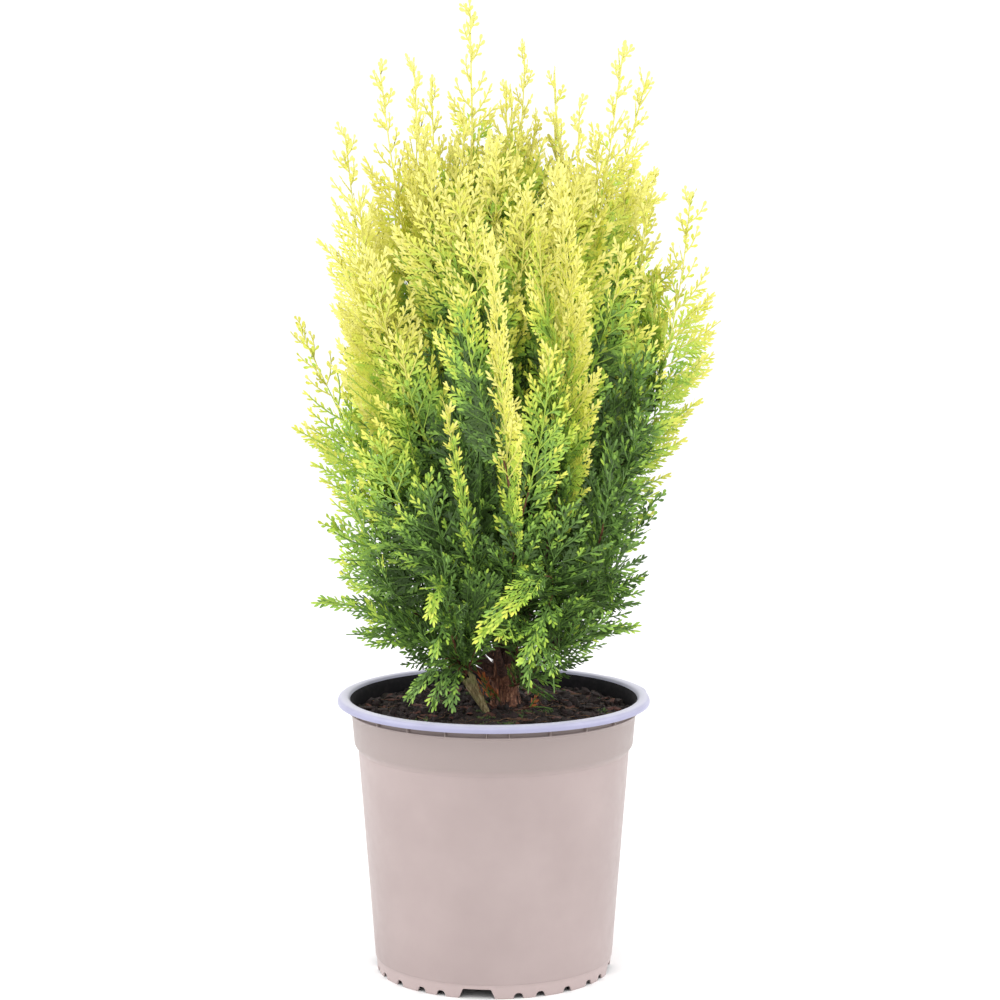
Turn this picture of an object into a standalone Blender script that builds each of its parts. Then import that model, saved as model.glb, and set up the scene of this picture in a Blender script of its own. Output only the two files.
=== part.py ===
"""A young golden lawson cypress in its nursery pot. Sizes are in metres, +Z is up and -Y is the front.

The plant is a trunk that runs up to the leader, boughs that leave it low and turn upright, and one flat
fan of toothed sprays on each bough. An azimuth is measured from the front, 90 degrees being the right side.
"""

import math
import random

import bmesh
import bpy
from mathutils import Matrix, Quaternion, Vector
from mathutils.bvhtree import BVHTree

GAP = 0.0003  # between pieces that rest on each other

# Pot
POT_HEIGHT = 0.1519
RIM_RADIUS = 0.085
RIM_OPENING_RADIUS = 0.0785
LIP_BASE = 0.148
LIP_EDGE = 0.0011  # the small chamfer along the lip
NECK_DEPTH = 0.0034  # of the groove under the lip, down to the ridge
NECK_STAND = 0.0004  # how far the groove's bottom stands out of the wall's line
RIDGE_STAND = 0.0017
RIDGE_HEIGHT = 0.0008
FOOT_RADIUS = 0.064
STEP_HEIGHT = 0.1222  # lower edge of the shoulder
SHOULDER_HEIGHT = 0.1262
WALL_LINE = ((0, FOOT_RADIUS), (STEP_HEIGHT, 0.0738), (SHOULDER_HEIGHT, 0.0760), (LIP_BASE, 0.0778))
FOOT_BAND_HEIGHT = 0.0076
FOOT_BAND_STEP = 0.0004
FLOOR_HEIGHT = 0.0062
WALL = 0.0013
SIDES = 36  # of everything turned, so that the soil's facets lie along the pot's
DRAIN_AZIMUTHS = (-8, 82, 172, 262)
CUT_DEPTH = 0.006  # how far the foot's cutters reach in from its outside
DRAIN_WIDTH = 0.0197
DRAIN_TOP_WIDTH = 0.015
DRAIN_HEIGHT = 0.0053
BITE_OFFSETS = (20, 31, 46, 61, 72)  # degrees from each drain to the bites in the foot's edge
BITE_WIDTH = 0.0052
BITE_HEIGHT = 0.003
FLOOR_HOLE_RADIUS = 0.006
FLOOR_HOLE_REACH = 0.048
FLOOR_HOLE_SIDES = 10

# Potting soil
SOIL_EDGE_HEIGHT = 0.1385
SOIL_CROWN_HEIGHT = 0.1442
SOIL_FLAT_RADIUS = 0.030  # level ground round the trunk and the basal shoot
SOIL_LUMPY_FROM = 0.02  # over this much more radius the lumps come in
SOIL_LUMP = 0.0010
SOIL_RINGS = 5

# Trunk
TRUNK_FOOT = Vector((0.006, 0.008, SOIL_CROWN_HEIGHT + GAP))
LEADER_TIP = Vector((-0.0125, 0.0, 0.5237))
TRUNK_END_HEIGHT = 0.452
TRUNK_RADIUS = 0.0064
TRUNK_TIP_RADIUS = 0.0010
TRUNK_TAPER = 1.5
TRUNK_SWAY = 0.0025
FLARE_RADIUS = 0.0026
FLARE_HEIGHT = 0.006
FLARE_LOBES = 5
TRUNK_SIDES = 10
TRUNK_STATIONS = 15

# Basal shoot, which leaves the soil in front of the trunk and carries the low front clump
BASAL_FOOT = Vector((-0.003, -0.018, SOIL_CROWN_HEIGHT + GAP))
BASAL_TIP = Vector((-0.0145, -0.0185, 0.166))
BASAL_RADIUS = 0.0019
BASAL_TIP_RADIUS = 0.0030
BASAL_STATIONS = 4
BASAL_AZIMUTH = 326
BASAL_TWIST = 60

# Boughs and fans
BOUGH_SIDES = 6
BOUGH_STATIONS = 5
STEM_TIP_RADIUS = 0.00045
STEM_STATIONS = 5
LOWEST_SPRAY = 0.1535  # nothing green comes below this, just over the rim
UNDERSIDE = ((0.058, LOWEST_SPRAY), (0.066, 0.178), (0.090, 0.200))  # of the crown, by distance out
SPRAY_ANGLE = 44  # degrees from the fan's axis at its foot, closing towards its tip
SPRAY_ANGLE_AT_TIP = 27
SPRAY_ASPECT = 0.31  # half-width of a spray over its length
SPRAY_ROLL = 11  # most degrees that a spray turns out of its fan's plane
ANGLE_SPREAD = 4
LENGTH_SPREAD = 0.08
END_SPRAY_SHARE = 0.9  # length of the spray that carries on to a fan's tip, over the fan's breadth
STEM_STOPS_SHORT = 0.008  # of the tip, inside that last spray
SPRAY_THICKNESS = 0.0010
SEED = 47

# Each fan: azimuth and height where it leaves the trunk, radius of its belly, then radius and height of
# its tip, degrees that it swings round the trunk on the way, twist of its plane, and breadth of its sprays.
BOUGH_FANS = {
    "left_outer": (267, 0.172, 0.073, 0.1050, 0.352, 0, 10, 0.039),
    "left_shoulder": (252, 0.192, 0.075, 0.0830, 0.456, 3, -8, 0.040),
    "left_front": (302, 0.183, 0.076, 0.0800, 0.424, -3, 12, 0.040),
    "centre_green": (333, 0.176, 0.056, 0.0520, 0.365, 10, 70, 0.036),
    "front_gold": (10, 0.170, 0.084, 0.0790, 0.402, -11, 4, 0.032),
    "front_lime": (350, 0.163, 0.064, 0.0770, 0.316, -8, 0, 0.026),
    "right_front_gold": (42, 0.181, 0.080, 0.0600, 0.437, -10, 8, 0.034),
    "right_front_lime": (58, 0.171, 0.078, 0.0930, 0.308, -3, 10, 0.030),
    "right_outer": (88, 0.178, 0.100, 0.1050, 0.422, 4, -6, 0.040),
    "right_shoulder": (113, 0.190, 0.084, 0.0920, 0.432, 0, 14, 0.042),
    "back_right": (140, 0.174, 0.086, 0.0940, 0.398, 4, -10, 0.044),
    "back": (169, 0.186, 0.086, 0.0920, 0.416, 4, 8, 0.044),
    "back_left": (198, 0.172, 0.086, 0.0960, 0.388, 0, 12, 0.044),
    "left_back": (225, 0.182, 0.088, 0.0940, 0.408, 4, -12, 0.042),
    "left_low": (281, 0.164, 0.062, 0.0900, 0.252, 0, 20, 0.032),
    "right_low": (77, 0.163, 0.066, 0.0880, 0.262, 6, -16, 0.032),
    "back_right_low": (127, 0.160, 0.056, 0.0820, 0.224, 0, 14, 0.032),
    "back_left_low": (212, 0.160, 0.056, 0.0840, 0.222, 0, -14, 0.032),
    "left_low_back": (246, 0.158, 0.054, 0.0880, 0.214, 6, 18, 0.030),
}
TRUNK_FANS = {
    "left_crest": (270, 0.232, 0.050, 0.0600, 0.488, 5, 14, 0.040),
    "left_front_crest": (312, 0.214, 0.046, 0.0470, 0.493, -14, 28, 0.036),
    "front_crest": (14, 0.246, 0.042, 0.0300, 0.452, -20, 40, 0.034),
    "right_front_crest": (62, 0.254, 0.048, 0.0480, 0.470, 8, 18, 0.038),
    "right_crest": (96, 0.226, 0.056, 0.0690, 0.502, -6, 8, 0.040),
    "right_back_crest": (124, 0.240, 0.064, 0.0860, 0.486, -18, 6, 0.040),
    "back_crest": (162, 0.252, 0.046, 0.0450, 0.480, 6, 20, 0.040),
    "back_left_crest": (216, 0.244, 0.046, 0.0440, 0.481, 14, -16, 0.040),
    "centre_crest": (146, 0.330, 0.022, 0.0205, 0.499, -20, 82, 0.030),
    "right_inner": (56, 0.214, 0.056, 0.0910, 0.343, 10, 56, 0.032),
    "low_lime": (25, 0.201, 0.056, 0.0750, 0.198, -24, 66, 0.024),
    "right_low_front": (43, 0.158, 0.044, 0.0720, 0.200, 12, 24, 0.028),
    "left_low_front": (306, 0.159, 0.044, 0.0740, 0.202, -8, 24, 0.028),
    "front_right_low": (20, 0.156, 0.032, 0.0560, 0.172, 12, 30, 0.022),
    "right_low_back": (104, 0.158, 0.048, 0.0780, 0.206, 0, -20, 0.028),
}
BOUGH_SHARE = 0.24  # how far along its fan's path a bough goes before the foliage takes over
BOUGH_RADIUS = 0.0023
BOUGH_TIP_RADIUS = 0.0014
STEM_RADIUS = 0.0012
LEADER_RADIUS = 0.0009
SPRAY_SPACING = 0.031  # along a fan's axis, side about
FEWEST_SPRAYS = 4
TRUNK_FAN_BARE_SHARE = 0.16  # of a path that starts on the trunk
LEADER_BREADTH = 0.024
LEADER_SPACING = 0.013
CLUMP_TIP = Vector((-0.0255, -0.052, 0.234))
CLUMP_BREADTH = 0.036


def clear_scene():
    for old in list(bpy.data.objects):
        bpy.data.objects.remove(old, do_unlink=True)


def finish(name, colour, roughness):
    material = bpy.data.materials.new(name)
    material.use_nodes = True
    shader = material.node_tree.nodes["Principled BSDF"]
    shader.inputs["Base Color"].default_value = (*colour, 1)
    shader.inputs["Roughness"].default_value = roughness
    material.diffuse_color = (*colour, 1)
    return material


def add_object(name, bm, material, smooth=False):
    """A new object from a bmesh, with its faces turned out."""
    bmesh.ops.recalc_face_normals(bm, faces=bm.faces)
    mesh = bpy.data.meshes.new(name)
    bm.to_mesh(mesh)
    bm.free()
    if smooth:
        mesh.shade_smooth()
        mesh.set_sharp_from_angle(angle=math.radians(35))
    mesh.materials.append(material)
    obj = bpy.data.objects.new(name, mesh)
    bpy.context.scene.collection.objects.link(obj)
    return obj


def outward(azimuth):
    """The level direction away from the trunk at an azimuth in degrees."""
    turn = math.radians(azimuth)
    return Vector((math.sin(turn), -math.cos(turn), 0))


def smoothstep(low, high, value):
    share = min(max((value - low) / (high - low), 0), 1)
    return share * share * (3 - 2 * share)


# Pot and soil


def turned(outline):
    """A bmesh turned about the Z axis from (radius, height) points, first and last joined."""
    bm = bmesh.new()
    corners = [bm.verts.new((radius, 0, height)) for radius, height in outline]
    edges = [bm.edges.new((a, b)) for a, b in zip(corners, corners[1:] + corners[:1])]
    bmesh.ops.spin(
        bm, geom=corners + edges, cent=(0, 0, 0), axis=(0, 0, 1), dvec=(0, 0, 0),
        angle=math.tau, steps=SIDES, use_merge=True,
    )
    bmesh.ops.remove_doubles(bm, verts=bm.verts, dist=1e-6)
    return bm


def wall_radius(height):
    """Outer radius of the pot's wall, read from the wall's line."""
    for (low, radius), (high, radius_above) in zip(WALL_LINE, WALL_LINE[1:]):
        if height <= high:
            break
    return radius + (radius_above - radius) * (height - low) / (high - low)


def inner_radius(height):
    return wall_radius(height) - WALL


def pot_outline():
    """From the lip's inner edge over the rim, down the outside, under the floor and up the inside."""
    neck = wall_radius(LIP_BASE) + NECK_STAND
    ridge = LIP_BASE - NECK_DEPTH
    ridge_foot = ridge - 2 * RIDGE_HEIGHT
    outside = [
        (RIM_OPENING_RADIUS, POT_HEIGHT - LIP_EDGE),
        (RIM_OPENING_RADIUS + LIP_EDGE, POT_HEIGHT),
        (RIM_RADIUS - LIP_EDGE, POT_HEIGHT),
        (RIM_RADIUS, POT_HEIGHT - LIP_EDGE),
        (RIM_RADIUS, LIP_BASE),
        (neck, LIP_BASE),
        (neck, ridge),
        (wall_radius(ridge) + RIDGE_STAND, ridge),
        (wall_radius(ridge) + RIDGE_STAND, ridge - RIDGE_HEIGHT),
        (wall_radius(ridge_foot), ridge_foot),
        (wall_radius(SHOULDER_HEIGHT), SHOULDER_HEIGHT),
        (wall_radius(STEP_HEIGHT), STEP_HEIGHT),
        (wall_radius(FOOT_BAND_HEIGHT) + FOOT_BAND_STEP, FOOT_BAND_HEIGHT + FOOT_BAND_STEP),
        (wall_radius(FOOT_BAND_HEIGHT), FOOT_BAND_HEIGHT),
        (FOOT_RADIUS, 0),
    ]
    floor_top = FLOOR_HEIGHT + WALL
    inside = [
        (FOOT_RADIUS - WALL, 0),
        (inner_radius(FLOOR_HEIGHT), FLOOR_HEIGHT),
        (0, FLOOR_HEIGHT),
        (0, floor_top),
        (inner_radius(floor_top), floor_top),
        (inner_radius(STEP_HEIGHT), STEP_HEIGHT),
        (inner_radius(SHOULDER_HEIGHT), SHOULDER_HEIGHT),
        (inner_radius(LIP_BASE), LIP_BASE),
    ]
    return outside + inside


def add_prism(bm, outline, azimuth, near, far):
    """A prism along a radius of the pot, from (across, height) points, between two distances out."""
    forward = outward(azimuth)
    across = Vector((-forward.y, forward.x, 0))
    rings = [
        [bm.verts.new(forward * reach + across * x + Vector((0, 0, z))) for x, z in outline]
        for reach in (near, far)
    ]
    bm.faces.new(rings[0])
    bm.faces.new(reversed(rings[1]))
    for i in range(len(outline)):
        j = (i + 1) % len(outline)
        bm.faces.new((rings[0][i], rings[1][i], rings[1][j], rings[0][j]))


def foot_cutter():
    """Everything that is cut from the foot: drains, bites in the edge and holes in the floor."""
    bm = bmesh.new()
    near, far, below = FOOT_RADIUS - CUT_DEPTH, FOOT_RADIUS + CUT_DEPTH, -CUT_DEPTH / 2
    low = DRAIN_WIDTH / 2 + (DRAIN_WIDTH - DRAIN_TOP_WIDTH) / 2 * -below / DRAIN_HEIGHT
    top = DRAIN_TOP_WIDTH / 2
    drain = [(-low, below), (low, below), (top, DRAIN_HEIGHT), (-top, DRAIN_HEIGHT)]
    half = BITE_WIDTH / 2
    bite = [(-half, below), (half, below), (half / 2, BITE_HEIGHT), (-half / 2, BITE_HEIGHT)]
    for azimuth in DRAIN_AZIMUTHS:
        add_prism(bm, drain, azimuth, near, far)
        for offset in BITE_OFFSETS:
            add_prism(bm, bite, azimuth + offset, near, far)
        place = outward(azimuth) * FLOOR_HOLE_REACH + Vector((0, 0, FLOOR_HEIGHT + WALL / 2))
        bmesh.ops.create_cone(
            bm, cap_ends=True, segments=FLOOR_HOLE_SIDES, radius1=FLOOR_HOLE_RADIUS,
            radius2=FLOOR_HOLE_RADIUS, depth=WALL * 2, matrix=Matrix.Translation(place),
        )
    return bm


def make_pot(plastic):
    pot = add_object("pot", turned(pot_outline()), plastic, smooth=True)
    cutter = add_object("foot_cutter", foot_cutter(), plastic)
    cutter.hide_render = True
    cutter.display_type = "WIRE"
    cut = pot.modifiers.new("drains and bites", "BOOLEAN")
    cut.operation = "DIFFERENCE"
    cut.object = cutter
    return pot


def soil_height(x, y):
    """Low mound, level round the trunk, with lumps between there and the wall."""
    reach = math.hypot(x, y)
    rise = 1 - smoothstep(SOIL_FLAT_RADIUS, inner_radius(SOIL_EDGE_HEIGHT), reach)
    lumps = math.sin(x * 260 + 1.3) * math.sin(y * 230 + 0.4) + 0.6 * math.sin(x * 410 - y * 350)
    lumpy = smoothstep(SOIL_FLAT_RADIUS, SOIL_FLAT_RADIUS + SOIL_LUMPY_FROM, reach)
    level = SOIL_EDGE_HEIGHT + rise * (SOIL_CROWN_HEIGHT - SOIL_EDGE_HEIGHT)
    return level + SOIL_LUMP * lumps * lumpy


def make_soil(material):
    bottom = FLOOR_HEIGHT + WALL + GAP
    outline = [(0, bottom)]
    outline += [(inner_radius(z) - GAP, z) for z in (bottom, STEP_HEIGHT, SHOULDER_HEIGHT)]
    edge = inner_radius(SOIL_EDGE_HEIGHT) - GAP
    outline += [(edge * (1 - i / SOIL_RINGS), SOIL_EDGE_HEIGHT) for i in range(SOIL_RINGS + 1)]
    bm = turned(outline)
    for vert in bm.verts:
        if vert.co.z > SOIL_EDGE_HEIGHT - GAP:
            vert.co.z = soil_height(vert.co.x, vert.co.y)
    return add_object("potting_soil", bm, material, smooth=True)


# Trunk and boughs


def trunk_at(height):
    """The trunk's middle at a height: it leans from its foot to the leader's tip with a slight sway."""
    share = (height - TRUNK_FOOT.z) / (LEADER_TIP.z - TRUNK_FOOT.z)
    middle = TRUNK_FOOT.lerp(LEADER_TIP, share)
    middle.x += TRUNK_SWAY * math.sin(share * math.tau)
    middle.z = height
    return middle


def trunk_radius(height):
    share = (height - TRUNK_FOOT.z) / (TRUNK_END_HEIGHT - TRUNK_FOOT.z)
    taper = max(1 - share, 0) ** TRUNK_TAPER
    flare = FLARE_RADIUS * math.exp(-(height - TRUNK_FOOT.z) / FLARE_HEIGHT)
    return TRUNK_TIP_RADIUS + (TRUNK_RADIUS - TRUNK_TIP_RADIUS) * taper + flare


def add_tube(bm, rings):
    """Joins rings of points of equal count into a tube with flat ends."""
    loops = [[bm.verts.new(point) for point in ring] for ring in rings]
    for low, high in zip(loops, loops[1:]):
        for i in range(len(low)):
            j = (i + 1) % len(low)
            bm.faces.new((low[i], low[j], high[j], high[i]))
    bm.faces.new(reversed(loops[0]))
    bm.faces.new(loops[-1])


def make_trunk(bark):
    rings = []
    for i in range(TRUNK_STATIONS):
        rise = (i / (TRUNK_STATIONS - 1)) ** 1.6
        height = TRUNK_FOOT.z + rise * (TRUNK_END_HEIGHT - TRUNK_FOOT.z)
        foot = math.exp(-(height - TRUNK_FOOT.z) / FLARE_HEIGHT)
        middle, radius = trunk_at(height), trunk_radius(height)
        ring = []
        for k in range(TRUNK_SIDES):
            turn = math.tau * k / TRUNK_SIDES
            reach = radius * (1 - 0.12 * foot * (1 - math.cos(FLARE_LOBES * turn)) / 2)
            ring.append(middle + Vector((math.cos(turn) * reach, math.sin(turn) * reach, 0)))
        rings.append(ring)
    bm = bmesh.new()
    add_tube(bm, rings)
    return add_object("trunk", bm, bark, smooth=True)


class Axis:
    """A smooth path read by its share of length, with the directions that a flat fan takes along it."""

    STEPS = 40

    def __init__(self, controls, azimuth, swing, twist):
        self.azimuth, self.swing, self.twist = azimuth, swing, math.radians(twist)
        self.points = []
        for i in range(self.STEPS + 1):
            t = i / self.STEPS
            weights = ((1 - t) ** 3, 3 * t * (1 - t) ** 2, 3 * t * t * (1 - t), t**3)
            self.points.append(sum((c * w for c, w in zip(controls, weights)), Vector()))
        self.lengths = [0.0]
        for a, b in zip(self.points, self.points[1:]):
            self.lengths.append(self.lengths[-1] + (b - a).length)
        self.length = self.lengths[-1]

    def at(self, share):
        reach = min(max(share, 0), 1) * self.length
        i = next(k for k in range(1, len(self.lengths)) if self.lengths[k] >= reach - 1e-12)
        span = self.lengths[i] - self.lengths[i - 1]
        return self.points[i - 1].lerp(self.points[i], (reach - self.lengths[i - 1]) / span)

    def along(self, share):
        return (self.at(min(share + 0.01, 1)) - self.at(max(share - 0.01, 0))).normalized()

    def frame(self, share):
        """Direction along the axis, the outer side within the fan's plane, and the plane's normal."""
        along = self.along(share)
        round_trunk = outward(self.azimuth + self.swing * share + 90)
        normal = (round_trunk - along * along.dot(round_trunk)).normalized()
        normal = Quaternion(along, self.twist) @ normal
        return along, normal.cross(along), normal


def fan_axis(azimuth, root_height, belly, tip_radius, tip_height, swing, twist):
    """Leaves the trunk at a slant, turns upright at the belly and ends at the tip."""
    start = trunk_at(root_height) + outward(azimuth) * (trunk_radius(root_height) + GAP)
    rise = tip_height - root_height
    low = start + outward(azimuth) * belly * 0.55 + Vector((0, 0, rise * 0.22))
    high = outward(azimuth + swing * 0.6) * belly + Vector((0, 0, root_height + rise * 0.62))
    tip = outward(azimuth + swing) * tip_radius + Vector((0, 0, tip_height))
    return Axis((start, low, high, tip), azimuth, swing, twist)


def rings_along(axis, begin, end, stations, sides, radius_begin, radius_end, seat=None):
    """Rings for a tapering limb. seat is the level direction of the trunk's side that it starts against."""
    rings = []
    for i in range(stations):
        share = begin + (end - begin) * i / (stations - 1)
        along, side, normal = axis.frame(share)
        middle = axis.at(share)
        radius = radius_begin + (radius_end - radius_begin) * i / (stations - 1)
        ring = []
        for k in range(sides):
            turn = math.tau * k / sides
            offset = side * math.cos(turn) * radius + normal * math.sin(turn) * radius
            if seat is not None and i == 0:
                offset -= along * (offset.dot(seat) / along.dot(seat))
            ring.append(middle + offset)
        rings.append(ring)
    return rings


def tree_of(bm):
    """What a piece fills, for testing whether another piece would touch it."""
    return BVHTree.FromBMesh(bm)


def make_bough(name, axis, bark, taken):
    bm = bmesh.new()
    rings = rings_along(
        axis, 0, BOUGH_SHARE, BOUGH_STATIONS, BOUGH_SIDES,
        BOUGH_RADIUS, BOUGH_TIP_RADIUS, seat=outward(axis.azimuth),
    )
    add_tube(bm, rings)
    taken[name] = tree_of(bm)
    return add_object(name, bm, bark, smooth=True)


# Foliage


def add_spray(bm, root, along, across, normal, length, swell=0.0):
    """A toothed spray, flat beneath with a ridge along its back. swell enlarges it for testing."""
    half = length * SPRAY_ASPECT + swell

    def point(x, y, z):
        return bm.verts.new(root + along * x * length + across * y * half + normal * z)

    top, under = SPRAY_THICKNESS * 0.6 + swell, -SPRAY_THICKNESS * 0.4 - swell
    tip = point(1 + swell / length, 0, under)
    ridge = [point(x, 0, top * z) for x, z in ((0, 0.9), (0.33, 1), (0.66, 0.7))]
    edge = ((0, 0.1), (0.4, 1), (0.46, 0.4), (0.72, 0.74))
    left, right = ([point(x, y * side, under) for x, y in edge] for side in (1, -1))
    for foot, tooth, notch, tooth_2 in (left, right):
        for corners in (
            (foot, tooth, ridge[1]), (foot, ridge[1], ridge[0]), (tooth, notch, ridge[1]),
            (notch, ridge[2], ridge[1]), (notch, tooth_2, ridge[2]), (tooth_2, tip, ridge[2]),
        ):
            bm.faces.new(corners)
    bm.faces.new(left + [tip] + right[::-1])
    bm.faces.new((left[0], ridge[0], right[0]))


def spray_breadth(share):
    """How long the sprays are along a fan, as a share of its breadth."""
    return 0.72 + 0.28 * smoothstep(0, 0.35, share) - 0.48 * smoothstep(0.45, 1, share)


def fan_sprays(axis, begin, spacing, breadth, dice):
    """Root, directions and length of each spray, side about, with one that carries on to the tip."""
    count = max(round(axis.length * (1 - begin) / spacing), FEWEST_SPRAYS)
    for i in range(count):
        share = (i + 0.45) / (count + 0.25)
        place = begin + (1 - begin) * share
        along, outer, normal = axis.frame(place)
        side = 1 if i % 2 else -1
        angle = SPRAY_ANGLE + (SPRAY_ANGLE_AT_TIP - SPRAY_ANGLE) * share
        angle = math.radians(angle + dice.uniform(-ANGLE_SPREAD, ANGLE_SPREAD))
        heading = along * math.cos(angle) + outer * side * math.sin(angle)
        roll = Quaternion(heading, math.radians(dice.uniform(-SPRAY_ROLL, SPRAY_ROLL)))
        length = breadth * spray_breadth(share) * dice.uniform(1 - LENGTH_SPREAD, 1 + LENGTH_SPREAD)
        root = axis.at(place) - heading * STEM_TIP_RADIUS / 2
        yield root, heading, roll @ normal.cross(heading), roll @ normal, length
    end = axis.at(1)
    root = axis.at(1 - breadth * END_SPRAY_SHARE / axis.length)
    _, _, normal = axis.frame(1)
    heading = (end - root).normalized()
    normal = (normal - heading * heading.dot(normal)).normalized()
    yield root, heading, normal.cross(heading), normal, (end - root).length


def underside_at(reach):
    """How low foliage may hang at a distance from the pot's axis."""
    below = LOWEST_SPRAY
    for (near, low), (far, high) in zip(UNDERSIDE, UNDERSIDE[1:]):
        if reach > near:
            below = low + (high - low) * min((reach - near) / (far - near), 1)
    return below


def is_free(spray, own, taken):
    """Whether a spray keeps clear of every limb and of the other masses, and over the crown's underside."""
    bm = bmesh.new()
    add_spray(bm, *spray, swell=GAP)
    hangs = any(vert.co.z < underside_at(vert.co.xy.length) for vert in bm.verts)
    tree = tree_of(bm)
    bm.free()
    if hangs:
        return False
    return not any(tree.overlap(other) for name, other in taken.items() if name != own)


def stem_of(axis, begin, radius, seat, taken, name):
    bm = bmesh.new()
    end = 1 - STEM_STOPS_SHORT / axis.length
    add_tube(bm, rings_along(axis, begin, end, STEM_STATIONS, 3, radius, STEM_TIP_RADIUS, seat=seat))
    taken[name] = tree_of(bm)
    return bm


def keep_outer_skin(mesh):
    """Drops what the union left loose and fills what it sealed in, by keeping the largest connected skin."""
    bm = bmesh.new()
    bm.from_mesh(mesh)
    unseen, skins = set(bm.faces), []
    while unseen:
        skin, front = set(), {unseen.pop()}
        while front:
            skin |= front
            front = {near for face in front for edge in face.edges for near in edge.link_faces} - skin
        unseen -= skin
        skins.append(skin)
    largest = max(skins, key=lambda skin: sum(face.calc_area() for face in skin))
    loose = [face for skin in skins if skin is not largest for face in skin]
    bmesh.ops.delete(bm, geom=loose, context="FACES")
    bm.to_mesh(mesh)
    bm.free()


def make_mass(name, stem, sprays, material, taken):
    """One mass: the stem and every spray that is free, joined by one union."""
    mass = add_object(name, stem, material)
    helpers = bpy.data.collections.new(name + "_sprays")
    bpy.context.scene.collection.children.link(helpers)
    filled = bmesh.new()
    for number, spray in enumerate(sprays):
        if not is_free(spray, name, taken):
            continue
        add_spray(filled, *spray)
        bm = bmesh.new()
        add_spray(bm, *spray)
        helper = add_object(f"{name}_spray_{number}", bm, material)
        helpers.objects.link(helper)
        bpy.context.scene.collection.objects.unlink(helper)
    taken[name + "_sprays"] = tree_of(filled)
    filled.free()
    join = mass.modifiers.new("sprays", "BOOLEAN")
    join.operation = "UNION"
    join.operand_type = "COLLECTION"
    join.collection = helpers
    join.solver = "MANIFOLD"
    graph = bpy.context.evaluated_depsgraph_get()
    joined = bpy.data.meshes.new_from_object(mass.evaluated_get(graph))
    keep_outer_skin(joined)
    mass.modifiers.clear()
    mass.data = joined
    for helper in list(helpers.objects):
        bpy.data.objects.remove(helper, do_unlink=True)
    bpy.data.collections.remove(helpers)
    return mass


def tint_of(name):
    """Which green a fan has: gold above and outside, deep below, and fresh between them."""
    if "low" in name:
        return "deep"
    return "fresh" if any(word in name for word in ("lime", "green", "inner")) else "gold"


def make_basal_shoot(bark, taken):
    """The torn flat shoot in front of the trunk, and the path of the clump that it carries."""
    controls = (BASAL_FOOT, BASAL_FOOT.lerp(BASAL_TIP, 0.35), BASAL_FOOT.lerp(BASAL_TIP, 0.7), BASAL_TIP)
    shoot = Axis(controls, BASAL_AZIMUTH, 0, BASAL_TWIST)
    rings = rings_along(shoot, 0, 1, BASAL_STATIONS, BOUGH_SIDES, BASAL_RADIUS, BASAL_TIP_RADIUS)
    for point in rings[0]:
        point.z = BASAL_FOOT.z
    bm = bmesh.new()
    add_tube(bm, rings)
    taken["basal_shoot"] = tree_of(bm)
    add_object("basal_shoot", bm, bark, smooth=True)
    heading = (BASAL_TIP - BASAL_FOOT).normalized()
    start = BASAL_TIP + heading * GAP
    controls = (start, start + heading * 0.014, CLUMP_TIP - Vector((0, -0.004, 0.03)), CLUMP_TIP)
    return Axis(controls, BASAL_AZIMUTH, 0, BASAL_TWIST)


def plant(bark, greens):
    """Trunk, boughs and the masses of foliage. Stems come first, so that sprays can keep clear of them."""
    dice = random.Random(SEED)
    taken = {}
    make_trunk(bark)
    bm = bmesh.new()
    bm.from_mesh(bpy.data.objects["trunk"].data)
    taken["trunk"] = tree_of(bm)
    bm.free()
    masses = []

    def plan(name, axis, begin, radius, seat, breadth, green, bare=0.0, spacing=SPRAY_SPACING):
        stem = stem_of(axis, begin, radius, seat, taken, name)
        masses.append((name, stem, fan_sprays(axis, begin + bare, spacing, breadth, dice), green))

    for name, (*course, breadth) in BOUGH_FANS.items():
        axis = fan_axis(*course)
        make_bough("bough_" + name, axis, bark, taken)
        plan(
            "foliage_" + name, axis, BOUGH_SHARE + GAP / axis.length, STEM_RADIUS, None,
            breadth, greens[tint_of(name)],
        )
    for name, (*course, breadth) in TRUNK_FANS.items():
        plan(
            "foliage_" + name, fan_axis(*course), 0, STEM_RADIUS, outward(course[0]),
            breadth, greens[tint_of(name)], bare=TRUNK_FAN_BARE_SHARE,
        )
    foot = trunk_at(TRUNK_END_HEIGHT + GAP)
    leader = Axis((foot, foot.lerp(LEADER_TIP, 0.33), foot.lerp(LEADER_TIP, 0.66), LEADER_TIP), 270, 0, 0)
    plan(
        "foliage_leader", leader, 0, LEADER_RADIUS, None,
        LEADER_BREADTH, greens["gold"], spacing=LEADER_SPACING,
    )
    clump = make_basal_shoot(bark, taken)
    plan("foliage_front_clump", clump, 0, STEM_RADIUS, None, CLUMP_BREADTH, greens["deep"])
    for name, stem, sprays, green in masses:
        make_mass(name, stem, sprays, green, taken)


def centre_on_origin():
    """Moves the whole model sideways so that its box stands centred over the origin."""
    bpy.context.view_layer.update()
    solids = [obj for obj in bpy.context.scene.objects if obj.type == "MESH"]
    corners = [vert.co for obj in solids if not obj.hide_render for vert in obj.data.vertices]
    middle = [(min(c[i] for c in corners) + max(c[i] for c in corners)) / 2 for i in (0, 1)]
    base = bpy.data.objects.new("cypress_in_pot", None)
    bpy.context.scene.collection.objects.link(base)
    base.location = (-middle[0], -middle[1], 0)
    for obj in solids:
        obj.parent = base


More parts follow.
